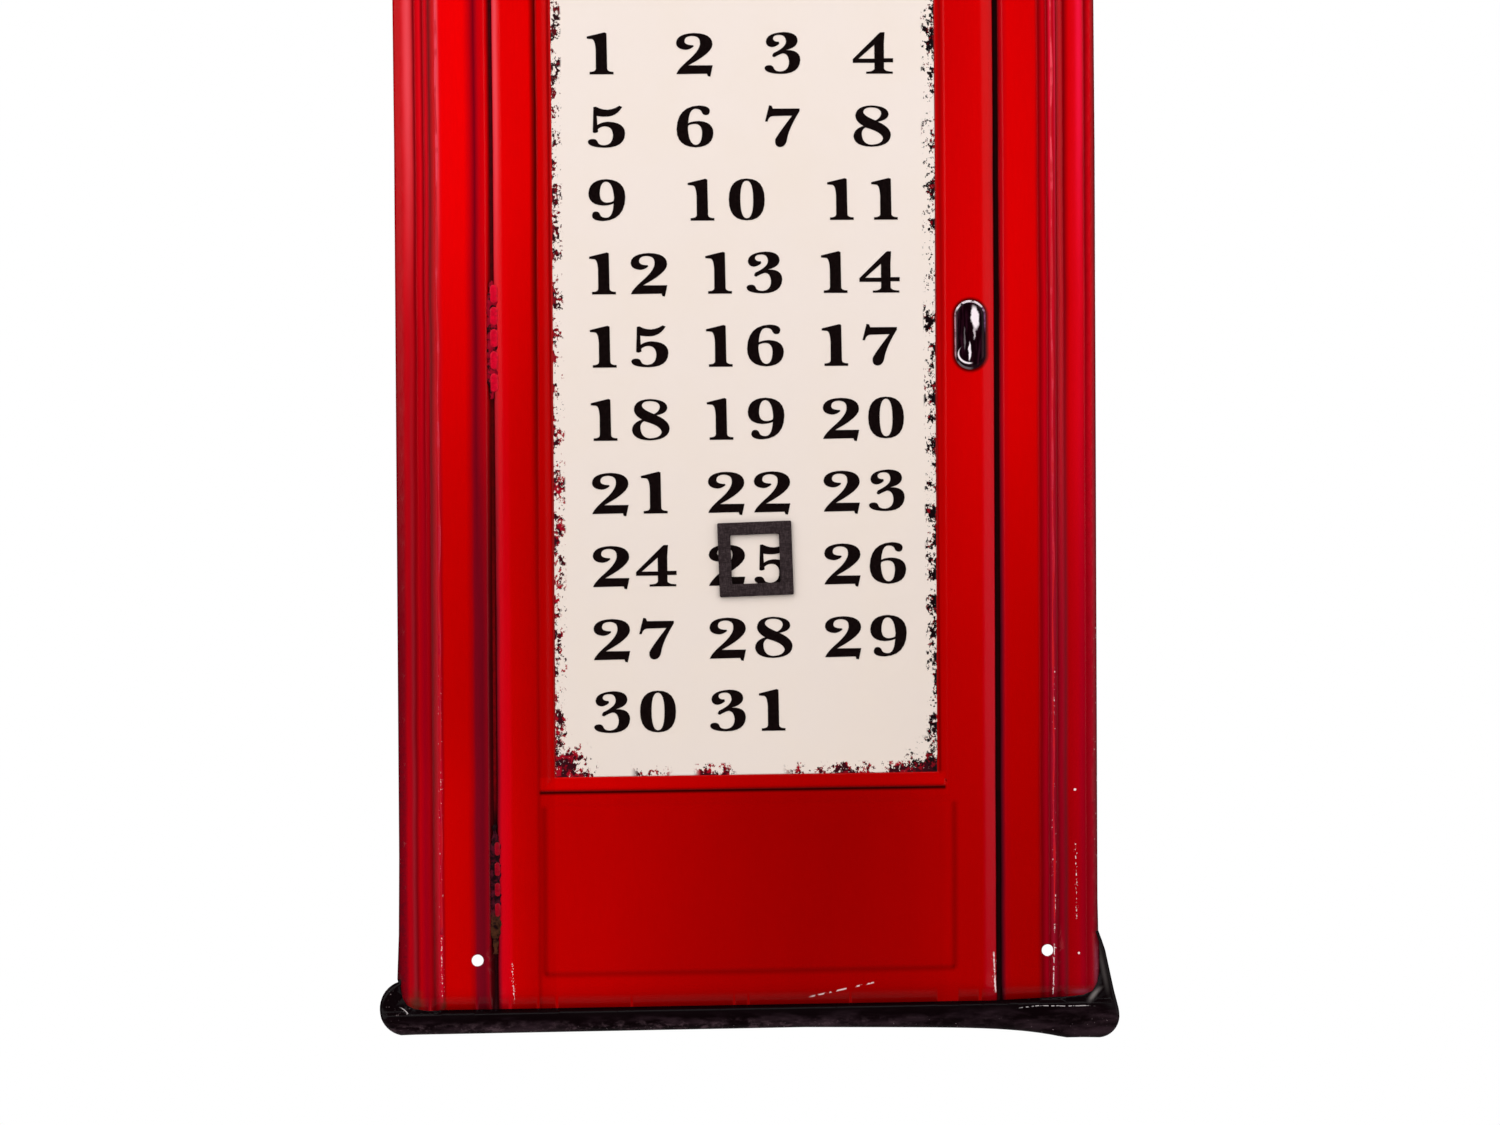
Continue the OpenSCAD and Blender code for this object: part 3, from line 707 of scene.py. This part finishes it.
def scratch(finish, x, x0, z0, x1, z1, half, broken):
    """Mask of a scratch from x0, z0 up to x1, z1: ragged, with gaps where the noise is low."""
    z = finish.z
    ragged = finish.noise(1.1, 3, 0.6, shift=z0 + 1)
    off = abs(x - ((z - z0) * ((x1 - x0) / (z1 - z0)) + x0) + (ragged - 0.5) * 0.7)
    gaps = finish.noise(0.9, 4, 0.7, shift=z0).rise(broken, broken + 0.05)
    core = (off / (ragged * 1.6 + 0.2)).rise(half * 0.8, half * 0.3) * gaps
    beside = off.rise(half * 4, half) * flecks(finish, 1.5, 0.33, z0 + 5)
    return core.highest(beside) * z.between(z0, z1, 0.5)


def flecks(finish, scale, amount, shift):
    """Small sharp-edged specks; amount is from 0 to 1."""
    return finish.noise(scale, 2, 0.6, shift=shift).rise(1 - amount, 1 - amount + 0.04)


# Scratches down to the primer: x and z of the foot and of the top, half width, how broken
SCRATCHES = [
    (-80.9, 10.5, -81.4, 23.5, 0.30, 0.48), (83.5, 11.0, 83.0, 24.5, 0.42, 0.44),
    (103.2, 10.0, 103.8, 27.0, 0.28, 0.47), (103.9, 31.0, 104.2, 44.0, 0.28, 0.47),
    (103.7, 50.0, 103.9, 122.0, 0.26, 0.54), (111.3, 36.0, 111.0, 62.0, 0.24, 0.54),
    (-105.2, 12.0, -105.3, 122.0, 0.22, 0.56)]


def red_lacquer():
    finish = Finish("red_lacquer")
    x, z = upright(finish), finish.z
    high = z.rise(LOW_LOOK, TOP_LOOK)
    left = finish.mix(high, band(finish, x, LEFT_LOW), band(finish, x, LEFT_HIGH))
    right = finish.mix(high, band(finish, x, RIGHT_LOW), band(finish, x, RIGHT_HIGH))
    panel = finish.mix(z.rise(80, 520), band(finish, x, PANEL_BAND),
                       band(finish, x, HEADER_BAND))
    color = finish.mix(x.rise(-66.6, -66.4), left, panel)
    color = finish.mix(x.rise(64.4, 64.6), color, right)
    color = finish.mix(z.rise(CORNICE_Z - 1, CORNICE_Z + 0.5), color,
                       band(finish, x, HEADER_BAND))

    # bright lines where the lacquer catches the light, stronger high up
    high_up = z.rise(232, 335) * z.rise(CORNICE_Z, 500) * 0.75
    sheen = x.near(-114.6, 2.3) * 0.75 + x.near(-104.9, 1.0) * 0.9 + x.near(-85.2, 1.3) * 0.7
    color = finish.mix(sheen * high_up, color, (246, 92, 102))
    sheen = x.near(103.5, 0.7) + x.near(105.0, 0.5) * 0.8 + x.near(113.2, 1.8)
    color = finish.mix(sheen * high_up, color, (242, 24, 66))

    # painted shade along the door's mouldings, beside the calendar and on the red just above the
    # plinth, and the dark printed outline of the pull handle
    across = x.between(MOULDING_L, MOULDING_R, 0.5)
    sill = z.near(MOULDING_Z, 1.2) * across
    sides = (x.near(PANEL_L, 1.9) + x.near(PANEL_R, 1.9)) * z.between(PANEL_LOW, PANEL_TOP, 1.0)
    rail = z.near(PANEL_LOW, 1.8) * x.between(PANEL_L, PANEL_R, 0.6)
    beside = (finish.x - FIELD_L + 0.5).near(0, 0.9) + (finish.x - FIELD_R - 0.5).near(0, 0.9)
    beside = beside * z.between(FIELD_Z, FIELD_TOP, 1.0)
    up = (abs(z - HANDLE_Z) - (HANDLE_HALF_H - HANDLE_HALF_W)).highest(0.0)
    halo = reach(finish.x - HANDLE_X, up).near(HANDLE_HALF_W, 1.3)
    foot = z.rise(17, 8.5) * 0.25
    shade = (sill * 0.92 + sides * 0.32 + rail * 0.3 + beside * 0.5 + halo * 0.85 + foot).lowest(0.93)
    mottle = (finish.noise(0.05, 3, stretch=(1, 1, 0.35)) - 0.5) * 0.16
    grain = (finish.noise(1.3, 2, stretch=(1, 1, 0.12), shift=7) - 0.5) * 0.10
    # painted light: the strip under the calendar brightened, the right side lighter at mid-height, the
    # left side lighter low down and darker at mid-height
    lit = z.between(MOULDING_Z + 1.2, FIELD_Z, 0.5) * across * 0.2
    right_glow = x.rise(30, 80) * z.near(165, 150) * 0.28
    left_glow = x.rise(-50, -75) * (z.rise(110, 70) * 0.09 - z.near(215, 100) * 0.08)
    color = finish.scale(color, (1 - shade) * (mottle + grain + lit + right_glow + left_glow + 1))

    # the corners of the columns are rubbed brown where they meet the plinth
    rubbed = x.near(-114.0, 4.0) * z.rise(18, 9) + x.near(-104.9, 1.8) * z.rise(14, 9) * 0.8
    color = finish.mix(rubbed * finish.noise(0.5, 3, shift=3).rise(0.3, 0.55) * 0.85, color,
                       (92, 44, 30))
    # painted highlight: lilac-grey light on the rounded foot and the lower outer edge of the right
    # column
    right_end_highlight = (x.near(113.0, 5.0) * z.near(10.8, 1.4) + x.near(118.0, 1.2) * z.between(13, 26, 4))
    color = finish.mix(right_end_highlight * 0.55, color, (150, 62, 84))

    # dark bruises along the left edge, and chips down to the white primer
    bruised = x.rise(-115.5, -118.5) * flecks(finish, 0.55, 0.5, 11) * z.rise(170, 40)
    color = finish.mix(bruised * 0.35, color, (70, 10, 22))
    first, *others = [scratch(finish, x, *place) for place in SCRATCHES]
    edge_flecks = x.rise(117.2, 118.4) * flecks(finish, 0.9, 0.34, 61) * z.between(60, 150, 8)
    spots = (x.near(111.0, 0.8) * z.near(80.0, 0.7)).highest(x.near(112.0, 0.6) * z.near(24.0, 0.7))
    chips = first.highest(*others, edge_flecks, spots.rise(0.3, 0.5))
    slant = (z - (x - 20) * 0.2 - 10.6).near(0, 0.4) * x.between(20, 42, 1.0)
    chips = chips.highest(slant * finish.noise(0.3, 2, shift=40).rise(0.5, 0.56) * 0.8)
    color = finish.mix(chips, color, (250, 226, 226))
    gloss = finish.noise(0.09, 4, shift=2) * 0.10 + 0.15 + chips * 0.4
    finish.bump(finish.noise(0.06, 3, shift=5) - chips * 0.6, 0.12, 0.35)
    return finish.paint(color, gloss, 0.06)


def black_lacquer():
    finish = Finish("black_lacquer")
    x, z = upright(finish), finish.z
    # smudges, rubbing and specks stay low down, so a deep black band is left under the red as a painted
    # shadow
    smudge_and_shadow = finish.noise(0.16, 4, 0.6, (0.35, 1, 1.6)).rise(0.42, 0.75) * z.rise(7.0, 3.5)
    color = finish.mix(smudge_and_shadow, (8, 1, 3), (44, 30, 36))
    rub = finish.noise(0.4, 5, 0.7, (0.6, 1, 1.2), 9).rise(0.48, 0.66) * z.rise(5.0, 1.5)
    color = finish.mix(rub * x.rise(80, -20, 0.12, 0.7), color, (78, 60, 66))
    specks = flecks(finish, 1.2, 0.31, 44) * z.rise(4.0, 0.5)
    color = finish.mix(specks * 0.7, color, (150, 132, 136))
    # painted highlights: grey light on the rounded foot of the right column, and a faint one along the
    # plate's right edge
    corner = (x - z * 0.9 - 108.5).near(0, 1.9) * z.between(7.4, 11.5, 1.4) * x.rise(114.2, 116.8)
    strip = (x + z * 0.2 - 124.2).near(0, 1.3) * z.between(12, 26, 5) * 0.18
    color = finish.mix((corner * 0.6 + strip).lowest(1), color, (138, 130, 128))
    ear = flecks(finish, 0.9, 0.34, 21) * x.rise(-114, -118)
    color = finish.mix(ear * 0.7, color, (120, 104, 106))
    # a thin broken pale line across the plinth at the right, and a painted glint in the crease where
    # the left column meets the plinth
    pale_streak = (z - 5.4 - (finish.noise(0.05, 2, shift=30) - 0.5) * 5).near(0, 0.2)
    pale_streak = pale_streak * x.between(92, 116, 2) * finish.noise(0.7, 3, shift=31).rise(0.42, 0.52)
    glint = (x + (z - 7).math("POWER", 2.0) * 0.4 + 116.8).near(0, 0.4) * z.between(7.4, 9.4, 0.4)
    glint = glint * finish.noise(0.5, 2, shift=50).rise(0.42, 0.5)
    color = finish.mix(pale_streak.highest(glint) * 0.85, color, (226, 216, 216))
    finish.bump(finish.noise(0.1, 3, shift=4), 0.12, 0.35)
    return finish.paint(color, finish.noise(0.1, 3) * 0.12 + 0.24, 0.07)


def cream_lacquer(name, left, right, low, top):
    """Cream print, worn through at the edges of its panel."""
    finish = Finish(name)
    x, z = finish.x, finish.z
    color = finish.mix(z.rise(330, 80), (242, 228, 220), (234, 220, 211))
    color = finish.mix(x.rise(0, 70) * z.rise(220, 80) * 0.6, color, (229, 214, 204))
    tint = finish.noise(0.03, 4, 0.6).rise(0.35, 0.75)
    color = finish.mix(tint * 0.2, color, (238, 221, 202))

    def wear(distance, reach, cover, shift):
        """Fine grains that thin out away from an edge; cover is from 0 to 0.3."""
        fade = distance.rise(reach, 0.0)
        fine = finish.noise(1.2, 3, 0.65, (1, 1, 0.8), shift)
        broad = finish.noise(0.16, 3, 0.6, shift=shift + 3)
        return (fine + broad * 1.1 + fade * cover).rise(1.175, 1.19) * fade.rise(0.0, 0.12)

    at_left = wear(x - left, 4.5, 0.155, 1)
    at_right = wear(right - x, 4.5, 0.15, 11)
    patches = x.between(-40, -28, 1.5) + x.between(-19, -6, 1.5) + x.between(12, right - 1, 2)
    at_low = wear(z - low, 4.6, 0.16, 21) * patches
    corner_l = wear(reach(x - left, z - low), 17.0, 0.27, 31)
    corner_r = wear(reach(right - x, z - low), 15.0, 0.33, 41)
    at_top = wear(top - z, 4.0, 0.15, 51)
    dark = at_right.highest(corner_r, at_top)
    blotch = finish.noise(0.5, 2, shift=71).rise(0.54, 0.64)
    color = finish.mix(dark, color, finish.mix(blotch, (12, 0, 3), (124, 0, 16)))
    maroon = finish.mix(finish.noise(0.5, 2, shift=70).rise(0.45, 0.6), (50, 0, 12), (158, 0, 26))
    maroon = finish.mix(z.rise(low + 90, low + 220) * 0.6, maroon, (28, 8, 12))
    red_wear = at_left.highest(corner_l, at_low)
    color = finish.mix(red_wear, color, maroon)
    worn = red_wear.highest(corner_r)
    finish.bump(finish.noise(0.08, 3, shift=6) - worn * 0.5, 0.08, 0.4)
    return finish.paint(color, worn * 0.1 + finish.noise(0.1, 3) * 0.1 + 0.3, 0.12)


def plain_ink(name, color, other, scale=0.4, roughness=0.4, shine=0.12):
    """A print colour with a fine mottle of a second one."""
    finish = Finish(name)
    mottle = finish.noise(scale, 4, 0.65)
    finish.bump(mottle, 0.03, 0.5)
    color = finish.mix(mottle.rise(0.35, 0.7), color, other)
    return finish.paint(color, mottle * 0.15 + roughness, shine)


def gap_ink():
    """Dark print of the gap round the door, fainter on the hinge side."""
    finish = Finish("gap_ink")
    z = finish.z
    hinge_side = finish.ramp(z, (10, 72, 84, 130, 180, 300),
                             ((40, 4, 8), (40, 2, 6), (120, 0, 8), (124, 0, 6), (86, 0, 2),
                              (70, 4, 10)))
    mottle = finish.noise(0.5, 3, 0.6)
    color = finish.mix(finish.x.rise(-40, 40), hinge_side, (24, 0, 1))
    color = finish.scale(color, mottle.rise(0.3, 0.7, 0.75, 1.2))
    return finish.paint(color, mottle * 0.2 + 0.5, 0.04)


def pale_line():
    """The thin highlight printed beside a column, broken lower down."""
    finish = Finish("pale_line")
    z = finish.z
    color = finish.mix(z.rise(120, 330), (186, 8, 40), (240, 66, 84))
    thin = finish.noise(0.12, 3, shift=8).rise(0.40, 0.58)
    color = finish.mix(thin * 0.75, color, (200, 0, 14))
    return finish.paint(color, thin * 0.2 + 0.25, 0.15)


def oval(x, z, half_x, half_z, soft=0.25):
    """1 inside an oval round the origin, 0 outside."""
    return reach(x / half_x, z / half_z).rise(1 + soft, 1 - soft)


def handle_rim():
    """Chrome rim of the printed pull handle: dark, with painted light caught at the top, the foot and
    both sides.
    """
    finish = Finish("handle_rim")
    x, z = finish.x - HANDLE_X, finish.z - HANDLE_Z
    flicker = finish.noise(0.6, 3, 0.6, shift=3)
    color = finish.mix(x.rise(-4.6, -5.1), (30, 8, 18), (176, 130, 140))
    color = finish.mix(x.rise(3.6, 4.8) * z.rise(0, 5), color, (120, 76, 112))
    color = finish.mix(flicker.rise(0.45, 0.6) * 0.6, color, (30, 6, 16))
    crown = z.rise(7.6, 9.4) * flicker.rise(0.38, 0.54)
    heel = z.rise(-8.4, -9.6) * x.rise(1.4, -0.6) * 0.15
    color = finish.mix(crown.highest(heel) * 0.92, color, (244, 226, 234))
    return finish.paint(color, flicker * 0.2 + 0.12, 0.06)


def handle_lens():
    """Dark glassy middle of the printed pull handle, with sharp reflections."""
    finish = Finish("handle_lens")
    x, z = finish.x - HANDLE_X, finish.z - HANDLE_Z
    fine = finish.noise(0.9, 3, 0.6, (1, 1, 0.12), 4)
    color = finish.mix(fine.rise(0.45, 0.7), (15, 1, 6), (44, 14, 27))
    ragged = (finish.noise(0.9, 3, 0.6, (1, 1, 0.6), 9) - 0.5) * 1.8
    blob = oval(x - 1.7 + ragged + (z - 5.8) * 0.08, z - 5.8, 1.3, 3.8)
    tail = oval(x - 1.5 + ragged, z - 1.2, 0.4, 2.6) * 0.55
    streak = oval(x + 0.1 + ragged * 0.5 - z * 0.02, z + 5.6, 0.42, 3.0)
    ghost = oval(x + 1.9 + ragged * 0.5, z + 1.2, 0.3, 3.6) * 0.12
    crescent = oval(x + 0.4, z + 6.6, 3.9, 3.3, 0.04) * (1 - oval(x, z + 6.1, 3.9, 3.3, 0.04))
    light = blob.highest(tail, streak, crescent * x.rise(1.0, -0.4))
    color = finish.mix(ghost.highest(light), color, (250, 236, 242))
    return finish.paint(color, fine * 0.1 + 0.12, 0.07)


def marker_film():
    """Matt black-brown film with short fibres pressed into it."""
    finish = Finish("marker_film")
    fibres = finish.noise(2.2, 4, 0.7, (1, 1, 0.25)) + finish.noise(2.2, 4, 0.7, (0.25, 1, 1), 5)
    color = finish.mix((fibres * 0.5).rise(0.42, 0.62), (34, 23, 25), (62, 50, 52))
    dust = flecks(finish, 1.6, 0.30, 13)
    color = finish.mix(dust * 0.5, color, (120, 108, 110))
    finish.bump(fibres, 0.06, 0.6)
    return finish.paint(color, fibres * 0.1 + 0.7, 0.15)


def tinplate():
    """Dull tin with large faint crystals, brushed marks and a few patches of rust."""
    finish = Finish("tinplate")
    cells = finish.node("TexVoronoi", {"feature": "F1"}, {"Vector": finish.place, "Scale": 90.0})
    crystal = Num(finish, finish.node("SeparateColor", None, {0: cells.outputs["Color"]})
                  .outputs[0])
    brushed = finish.noise(0.9, 3, 0.6, (0.05, 1, 1))
    color = finish.mix(crystal, (168, 168, 170), (196, 196, 198))
    rust = finish.noise(0.07, 5, 0.65, shift=2).rise(0.60, 0.72)
    color = finish.mix(rust * 0.75, color, (126, 74, 44))
    finish.bump(brushed, 0.03, 0.4)
    return finish.set(Base_Color=color, Metallic=1 - rust * 0.8,
                      Roughness=brushed * 0.15 + rust * 0.35 + 0.3)


# ---- small pieces ----

def rounded_square(half, r, corner_points=5):
    """A closed loop round a square with rounded corners."""
    out = []
    for k, (sx, sz) in enumerate(((1, 1), (-1, 1), (-1, -1), (1, -1))):
        for i in range(corner_points):
            a = math.radians(90 * k + 90 * i / (corner_points - 1))
            out.append((sx * (half - r) + r * math.cos(a), sz * (half - r) + r * math.sin(a)))
    return out


def capsule(half_w, half_h, n=48):
    """A closed loop round an upright capsule."""
    out = []
    for i in range(n):
        a = math.tau * i / n
        x, z = half_w * math.cos(a), half_w * math.sin(a)
        out.append((x, z + math.copysign(half_h - half_w, math.sin(a))))
    return out


def loft(loops, depths, closed, base=0):
    """Points and faces between loops of equal length; closed joins the last to the first."""
    n = len(loops[0])
    points = [(x, d, z) for loop, d in zip(loops, depths) for x, z in loop]
    faces = []
    for k in range(len(loops) - (0 if closed else 1)):
        a, b = k * n + base, (k + 1) % len(loops) * n + base
        for i in range(n):
            j = (i + 1) % n
            faces.append((a + i, a + j, b + j, b + i))
    return points, faces


def turned(points, angle, cx, cz):
    """The points turned by an angle in degrees and moved to a place."""
    c, s = math.cos(math.radians(angle)), math.sin(math.radians(angle))
    return [(cx + x * c - z * s, d, cz + x * s + z * c) for x, d, z in points]


MARKER_W = 25.2
MARKER_BAND = 4.3
MARKER_TILT = {"date_marker": 1.6, "weekday_marker": 0.0, "month_marker": 0.0}


def marker_ring(name, node, body, finish, soften):
    """One layer of a marker: a square frame whose edges are softened."""
    low, high = extent(node)
    back, front = -high[1], -low[1]
    cx, cz = (low[0] + high[0]) / 2, (low[2] + high[2]) / 2
    outer, inner = MARKER_W / 2, MARKER_W / 2 - MARKER_BAND
    shape = [(outer, back), (outer, front - soften), (outer - soften * 0.3, front - soften * 0.3),
             (outer - soften, front), (inner + soften, front),
             (inner + soften * 0.3, front - soften * 0.3), (inner, front - soften),
             (inner, back)]
    loops = [rounded_square(half, 0.5) for half, _ in shape]
    points, faces = loft(loops, [d for _, d in shape], True)
    points = turned(points, MARKER_TILT[body], cx, cz)
    piece = new_piece(name, points, [f[::-1] for f in faces], finish, body)
    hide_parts(node)
    return piece


def pull_handle(rim_finish, lens_finish):
    """The printed pull handle: a thin raised rim round a dark glassy lens."""
    base = LEAF_D + COAT + 0.01

    def made(name, insets, heights, finish):
        loops = [capsule(HANDLE_HALF_W - g, HANDLE_HALF_H - g * 1.2) for g in insets]
        points, faces = loft(loops, [base + h for h in heights], False)
        faces.append(tuple(range(len(points) - len(loops[0]), len(points))))
        faces.append(tuple(range(len(loops[0])))[::-1])
        return new_piece(name, turned(points, 0, HANDLE_X, HANDLE_Z), faces, finish)

    rim = made("pull_handle_rim", [0.15, 0.2, 0.4, 0.65, 0.85, 0.95],
               [0.0, 0.08, 0.16, 0.16, 0.10, 0.04], rim_finish)
    lens = made("pull_handle_lens", [0.7, 0.75, 1.7, 3.2, 4.6],
                [0.05, 0.13, 0.20, 0.25, 0.28], lens_finish)
    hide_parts("pull_handle_print")


def strip_faces(n):
    """Faces of a strip of n steps whose points come in pairs."""
    return [(2 * i, 2 * i + 1, 2 * i + 3, 2 * i + 2) for i in range(n)]


def ribbon(name, left, right, low, top, finish, wander, step=3.0):
    """A thin printed line up the sheet, whose sides wander a little."""
    n = round((top - low) / step)
    points = []
    for i in range(n + 1):
        z = low + (top - low) * i / n
        drift = wander * (math.sin(z * 0.11 + left) + 0.6 * math.sin(z * 0.043))
        width = (right - left) * (0.75 + 0.25 * math.sin(z * 0.19 + left))
        for x in (left + drift, left + drift + width):
            points.append((x + lean(z), relief(x, z) + COAT + 0.06, z))
    return thicken(new_piece(name, points, strip_faces(n), finish), 0.04)


# Each printed hinge: foot and length of its strip, then the first knuckle's height, the pitch
# and number of the knuckles, and half their width and height
HINGES = [(27.0, 44.0, 42.0, 6.9, 4, 0.95, 2.3), (215.0, 40.0, 220.6, 7.5, 5, 1.3, 3.1)]
HINGE_L, HINGE_R = -88.7, -85.3
KNUCKLE_X = -86.2


def hinge_dark():
    """Worn black-brown print of the hinge pins, with an olive rub low down."""
    finish = Finish("hinge_dark")
    z, mottle = finish.z, finish.noise(0.45, 4, 0.65)
    color = finish.mix(mottle.rise(0.42, 0.6), (22, 2, 6), (74, 10, 28))
    color = finish.mix(z.rise(150, 200) * mottle.rise(0.40, 0.52), color, (150, 0, 30))
    olive = z.between(26, 40, 3) * mottle.rise(0.35, 0.55)
    color = finish.mix(olive * 0.8, color, (74, 44, 22))
    return finish.paint(color, mottle * 0.2 + 0.5, 0.05)


def hinge_red():
    """Crimson print of the knuckles, brighter on the upper hinge."""
    finish = Finish("hinge_red")
    mottle = finish.noise(0.8, 3, 0.6)
    color = finish.mix(finish.z.rise(80, 210), (150, 0, 24), (214, 0, 40))
    color = finish.scale(color, mottle.rise(0.3, 0.7, 0.75, 1.1))
    return finish.paint(color, mottle * 0.15 + 0.3, 0.1)


def hinges(dark, red):
    """Two printed hinges: a dark pin strip with red knuckles along it."""

    def level(x, z):
        """Depth of the strip, which bridges the gap between its two sides."""
        sides = [max(relief(side, z), GAP_D) for side in (HINGE_L, HINGE_R)]
        return sides[0] + (sides[1] - sides[0]) * share((x - HINGE_L) / (HINGE_R - HINGE_L))

    middle, half = (HINGE_L + HINGE_R) / 2, (HINGE_R - HINGE_L) / 2
    corners = 16
    for number, (z0, length, first_z, pitch, count, half_w, half_h) in enumerate(HINGES):
        points, n = [], 44
        for i in range(n + 1):
            z = z0 + length * i / n
            ends = ease(i / 9) * ease((n - i) / 9)
            for side in (-1, 1):
                ragged = 0.28 * math.sin(i * 1.9 + number + side) + 0.2 * math.sin(i * 0.7 + side)
                x = middle + side * half * (0.3 + 0.7 * ends) + ragged
                points.append((x + lean(z), level(x, z) + COAT + 0.03, z))
        strip = thicken(new_piece(f"hinge_pin_{number}", points, strip_faces(n), dark), 0.03)
        if number == 0:
            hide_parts("hinge_print")
        points, faces = [], []
        for k in range(count):
            z = first_z + k * pitch
            rings = [capsule(half_w - g, half_h - g * 1.3, corners) for g in (0.0, 0.12, 0.5)]
            more, sides = loft(rings, [0.0, 0.12, 0.18], False, base=len(points))
            first = len(points)
            for dx, d, dz in more:
                lift = level(KNUCKLE_X + dx, z) + COAT + 0.05
                points.append((KNUCKLE_X + dx + lean(z), d + lift, dz + z))
            faces += sides
            faces.append(tuple(range(first + 2 * corners, first + 3 * corners)))
        knuckles = new_piece(f"hinge_knuckles_{number}", points, faces, red)


# ---- the calendar ----

sheet = Sheet()
red = red_lacquer()
black = black_lacquer()
cream = cream_lacquer("cream_field", *FIELD)
cream_over_door = cream_lacquer("cream_sign", *SIGN)

plate = new_piece("pressed_plate", sheet.points, sheet.faces, tinplate())
thicken(plate, GAUGE)
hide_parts("steel_plate")

for name, region, finish, node, slot in (
        ("red_coat", "red", red, "red_print", "red_lacquer"),
        ("plinth_coat", "plinth", black, "black_plinth_print", "black_lacquer"),
        ("calendar_coat", "field", cream, "cream_calendar_print", "cream_lacquer"),
        ("sign_coat", "sign", cream_over_door, "cream_sign_print", "cream_lacquer"),
        ("door_gap_coat", "gap", gap_ink(), "door_gap_print", "line_ink")):
    coat = coat_piece(name, sheet, region, finish)
    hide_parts(node)

line = pale_line()
LINE_LOW = extent("column_line_print")[0][2]
for name, left in (("column_line_left", -105.6), ("column_line_right", 103.4)):
    strip = ribbon(name, left, left + 0.9, LINE_LOW, CORNICE_Z - 2, line, 0.12)
    if name == "column_line_left":
        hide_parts("column_line_print")

hinges(hinge_dark(), hinge_red())
pull_handle(handle_rim(), handle_lens())

ink = plain_ink("numeral_ink", (11, 4, 4), (20, 10, 10), 0.9, 0.25, 0.08)
for name in ("date_numerals", "month_numerals", "weekday_spots"):
    for place in frame["nodes"][name].material_slots:
        place.material = ink

film = marker_film()
rubber = plain_ink("magnet_rubber", (20, 17, 18), (34, 29, 31), 0.8, 0.65)
for body in MARKER_TILT:
    magnet = marker_ring(body + "_rubber", body + "_magnet", body, rubber, 0.08)
    face = marker_ring(body + "_film", body + "_face", body, film, 0.12)


# ---- floor, light and camera ----

def floor():
    """A plain pale round floor well below the hanging plate, which fades out at its rim."""
    radius, z, n = 2.6, -0.55, 96
    mesh = bpy.data.meshes.new("floor")
    rim = [(radius * math.cos(math.tau * i / n), radius * math.sin(math.tau * i / n), z)
           for i in range(n)]
    mesh.from_pydata(rim, [], [tuple(range(n))])
    ground = bpy.data.objects.new("floor", mesh)
    bpy.context.scene.collection.objects.link(ground)
    finish = Finish("floor")
    out = finish.node("VectorMath", {"operation": "LENGTH"}, {0: finish.place}).outputs["Value"]
    finish.set(Base_Color=linear(236, 235, 233), Roughness=0.9,
               Alpha=Num(finish, out).rise(radius, radius * 0.35))
    mesh.materials.append(finish.material)


def soft_light(name, place, aim, width, height, power):
    data = bpy.data.lights.new(name, "AREA")
    data.shape = "RECTANGLE"
    data.size, data.size_y, data.energy = width, height, power
    lamp = bpy.data.objects.new(name, data)
    lamp.location = place
    lamp.rotation_euler = (Vector(aim) - Vector(place)).to_track_quat("-Z", "Y").to_euler()
    bpy.context.scene.collection.objects.link(lamp)


def surroundings():
    """White where the camera sees past the object, dim for everything else."""
    world = bpy.data.worlds.new("studio")
    bpy.context.scene.world = world
    world.use_nodes = True
    tree = world.node_tree
    shade = tree.nodes["Background"]
    bright = tree.nodes.new("ShaderNodeBackground")
    shade.inputs["Color"].default_value = (1, 1, 1, 1)
    shade.inputs["Strength"].default_value = 0.03
    bright.inputs["Color"].default_value = (1, 1, 1, 1)
    bright.inputs["Strength"].default_value = 1.0
    path = tree.nodes.new("ShaderNodeLightPath")
    pick = tree.nodes.new("ShaderNodeMixShader")
    tree.links.new(path.outputs["Is Camera Ray"], pick.inputs[0])
    tree.links.new(shade.outputs[0], pick.inputs[1])
    tree.links.new(bright.outputs[0], pick.inputs[2])
    tree.links.new(pick.outputs[0], tree.nodes["World Output"].inputs[0])


AIM = Vector((0, -0.004, 0.1588))
VIEW_DISTANCE = 1.204


def camera():
    """An 85 mm lens, nearly square on, a little from the left and above, slightly rolled."""
    side, up, roll = math.radians(-3.62), math.radians(1.0), math.radians(0.58)
    back = Vector((math.sin(side) * math.cos(up), -math.cos(side) * math.cos(up), math.sin(up)))
    level = Vector((math.cos(side), math.sin(side), 0))
    rise = back.cross(level)
    right = level * math.cos(roll) - rise * math.sin(roll)
    top = level * math.sin(roll) + rise * math.cos(roll)
    data = bpy.data.cameras.new("camera")
    data.lens, data.sensor_width, data.sensor_fit = 85, 36, "HORIZONTAL"
    eye = bpy.data.objects.new("camera", data)
    turn = Matrix((right, top, back)).transposed().to_4x4()
    eye.matrix_world = Matrix.Translation(AIM + back * VIEW_DISTANCE) @ turn
    bpy.context.scene.collection.objects.link(eye)
    bpy.context.scene.camera = eye


floor()
surroundings()
soft_light("key", (-1.45, -1.25, 1.15), (0, 0, 0.25), 2.1, 2.1, 39.5)
soft_light("fill", (1.6, -1.15, 0.75), (0, 0, 0.25), 2.1, 2.1, 28)
soft_light("overhead", (0, -0.75, 1.75), (0, 0, 0.3), 1.2, 0.6, 9)
soft_light("behind", (0.6, 1.5, 0.9), (0, 0, 0.3), 1.2, 1.2, 22)
bpy.context.scene.view_settings.view_transform = "Standard"
camera()
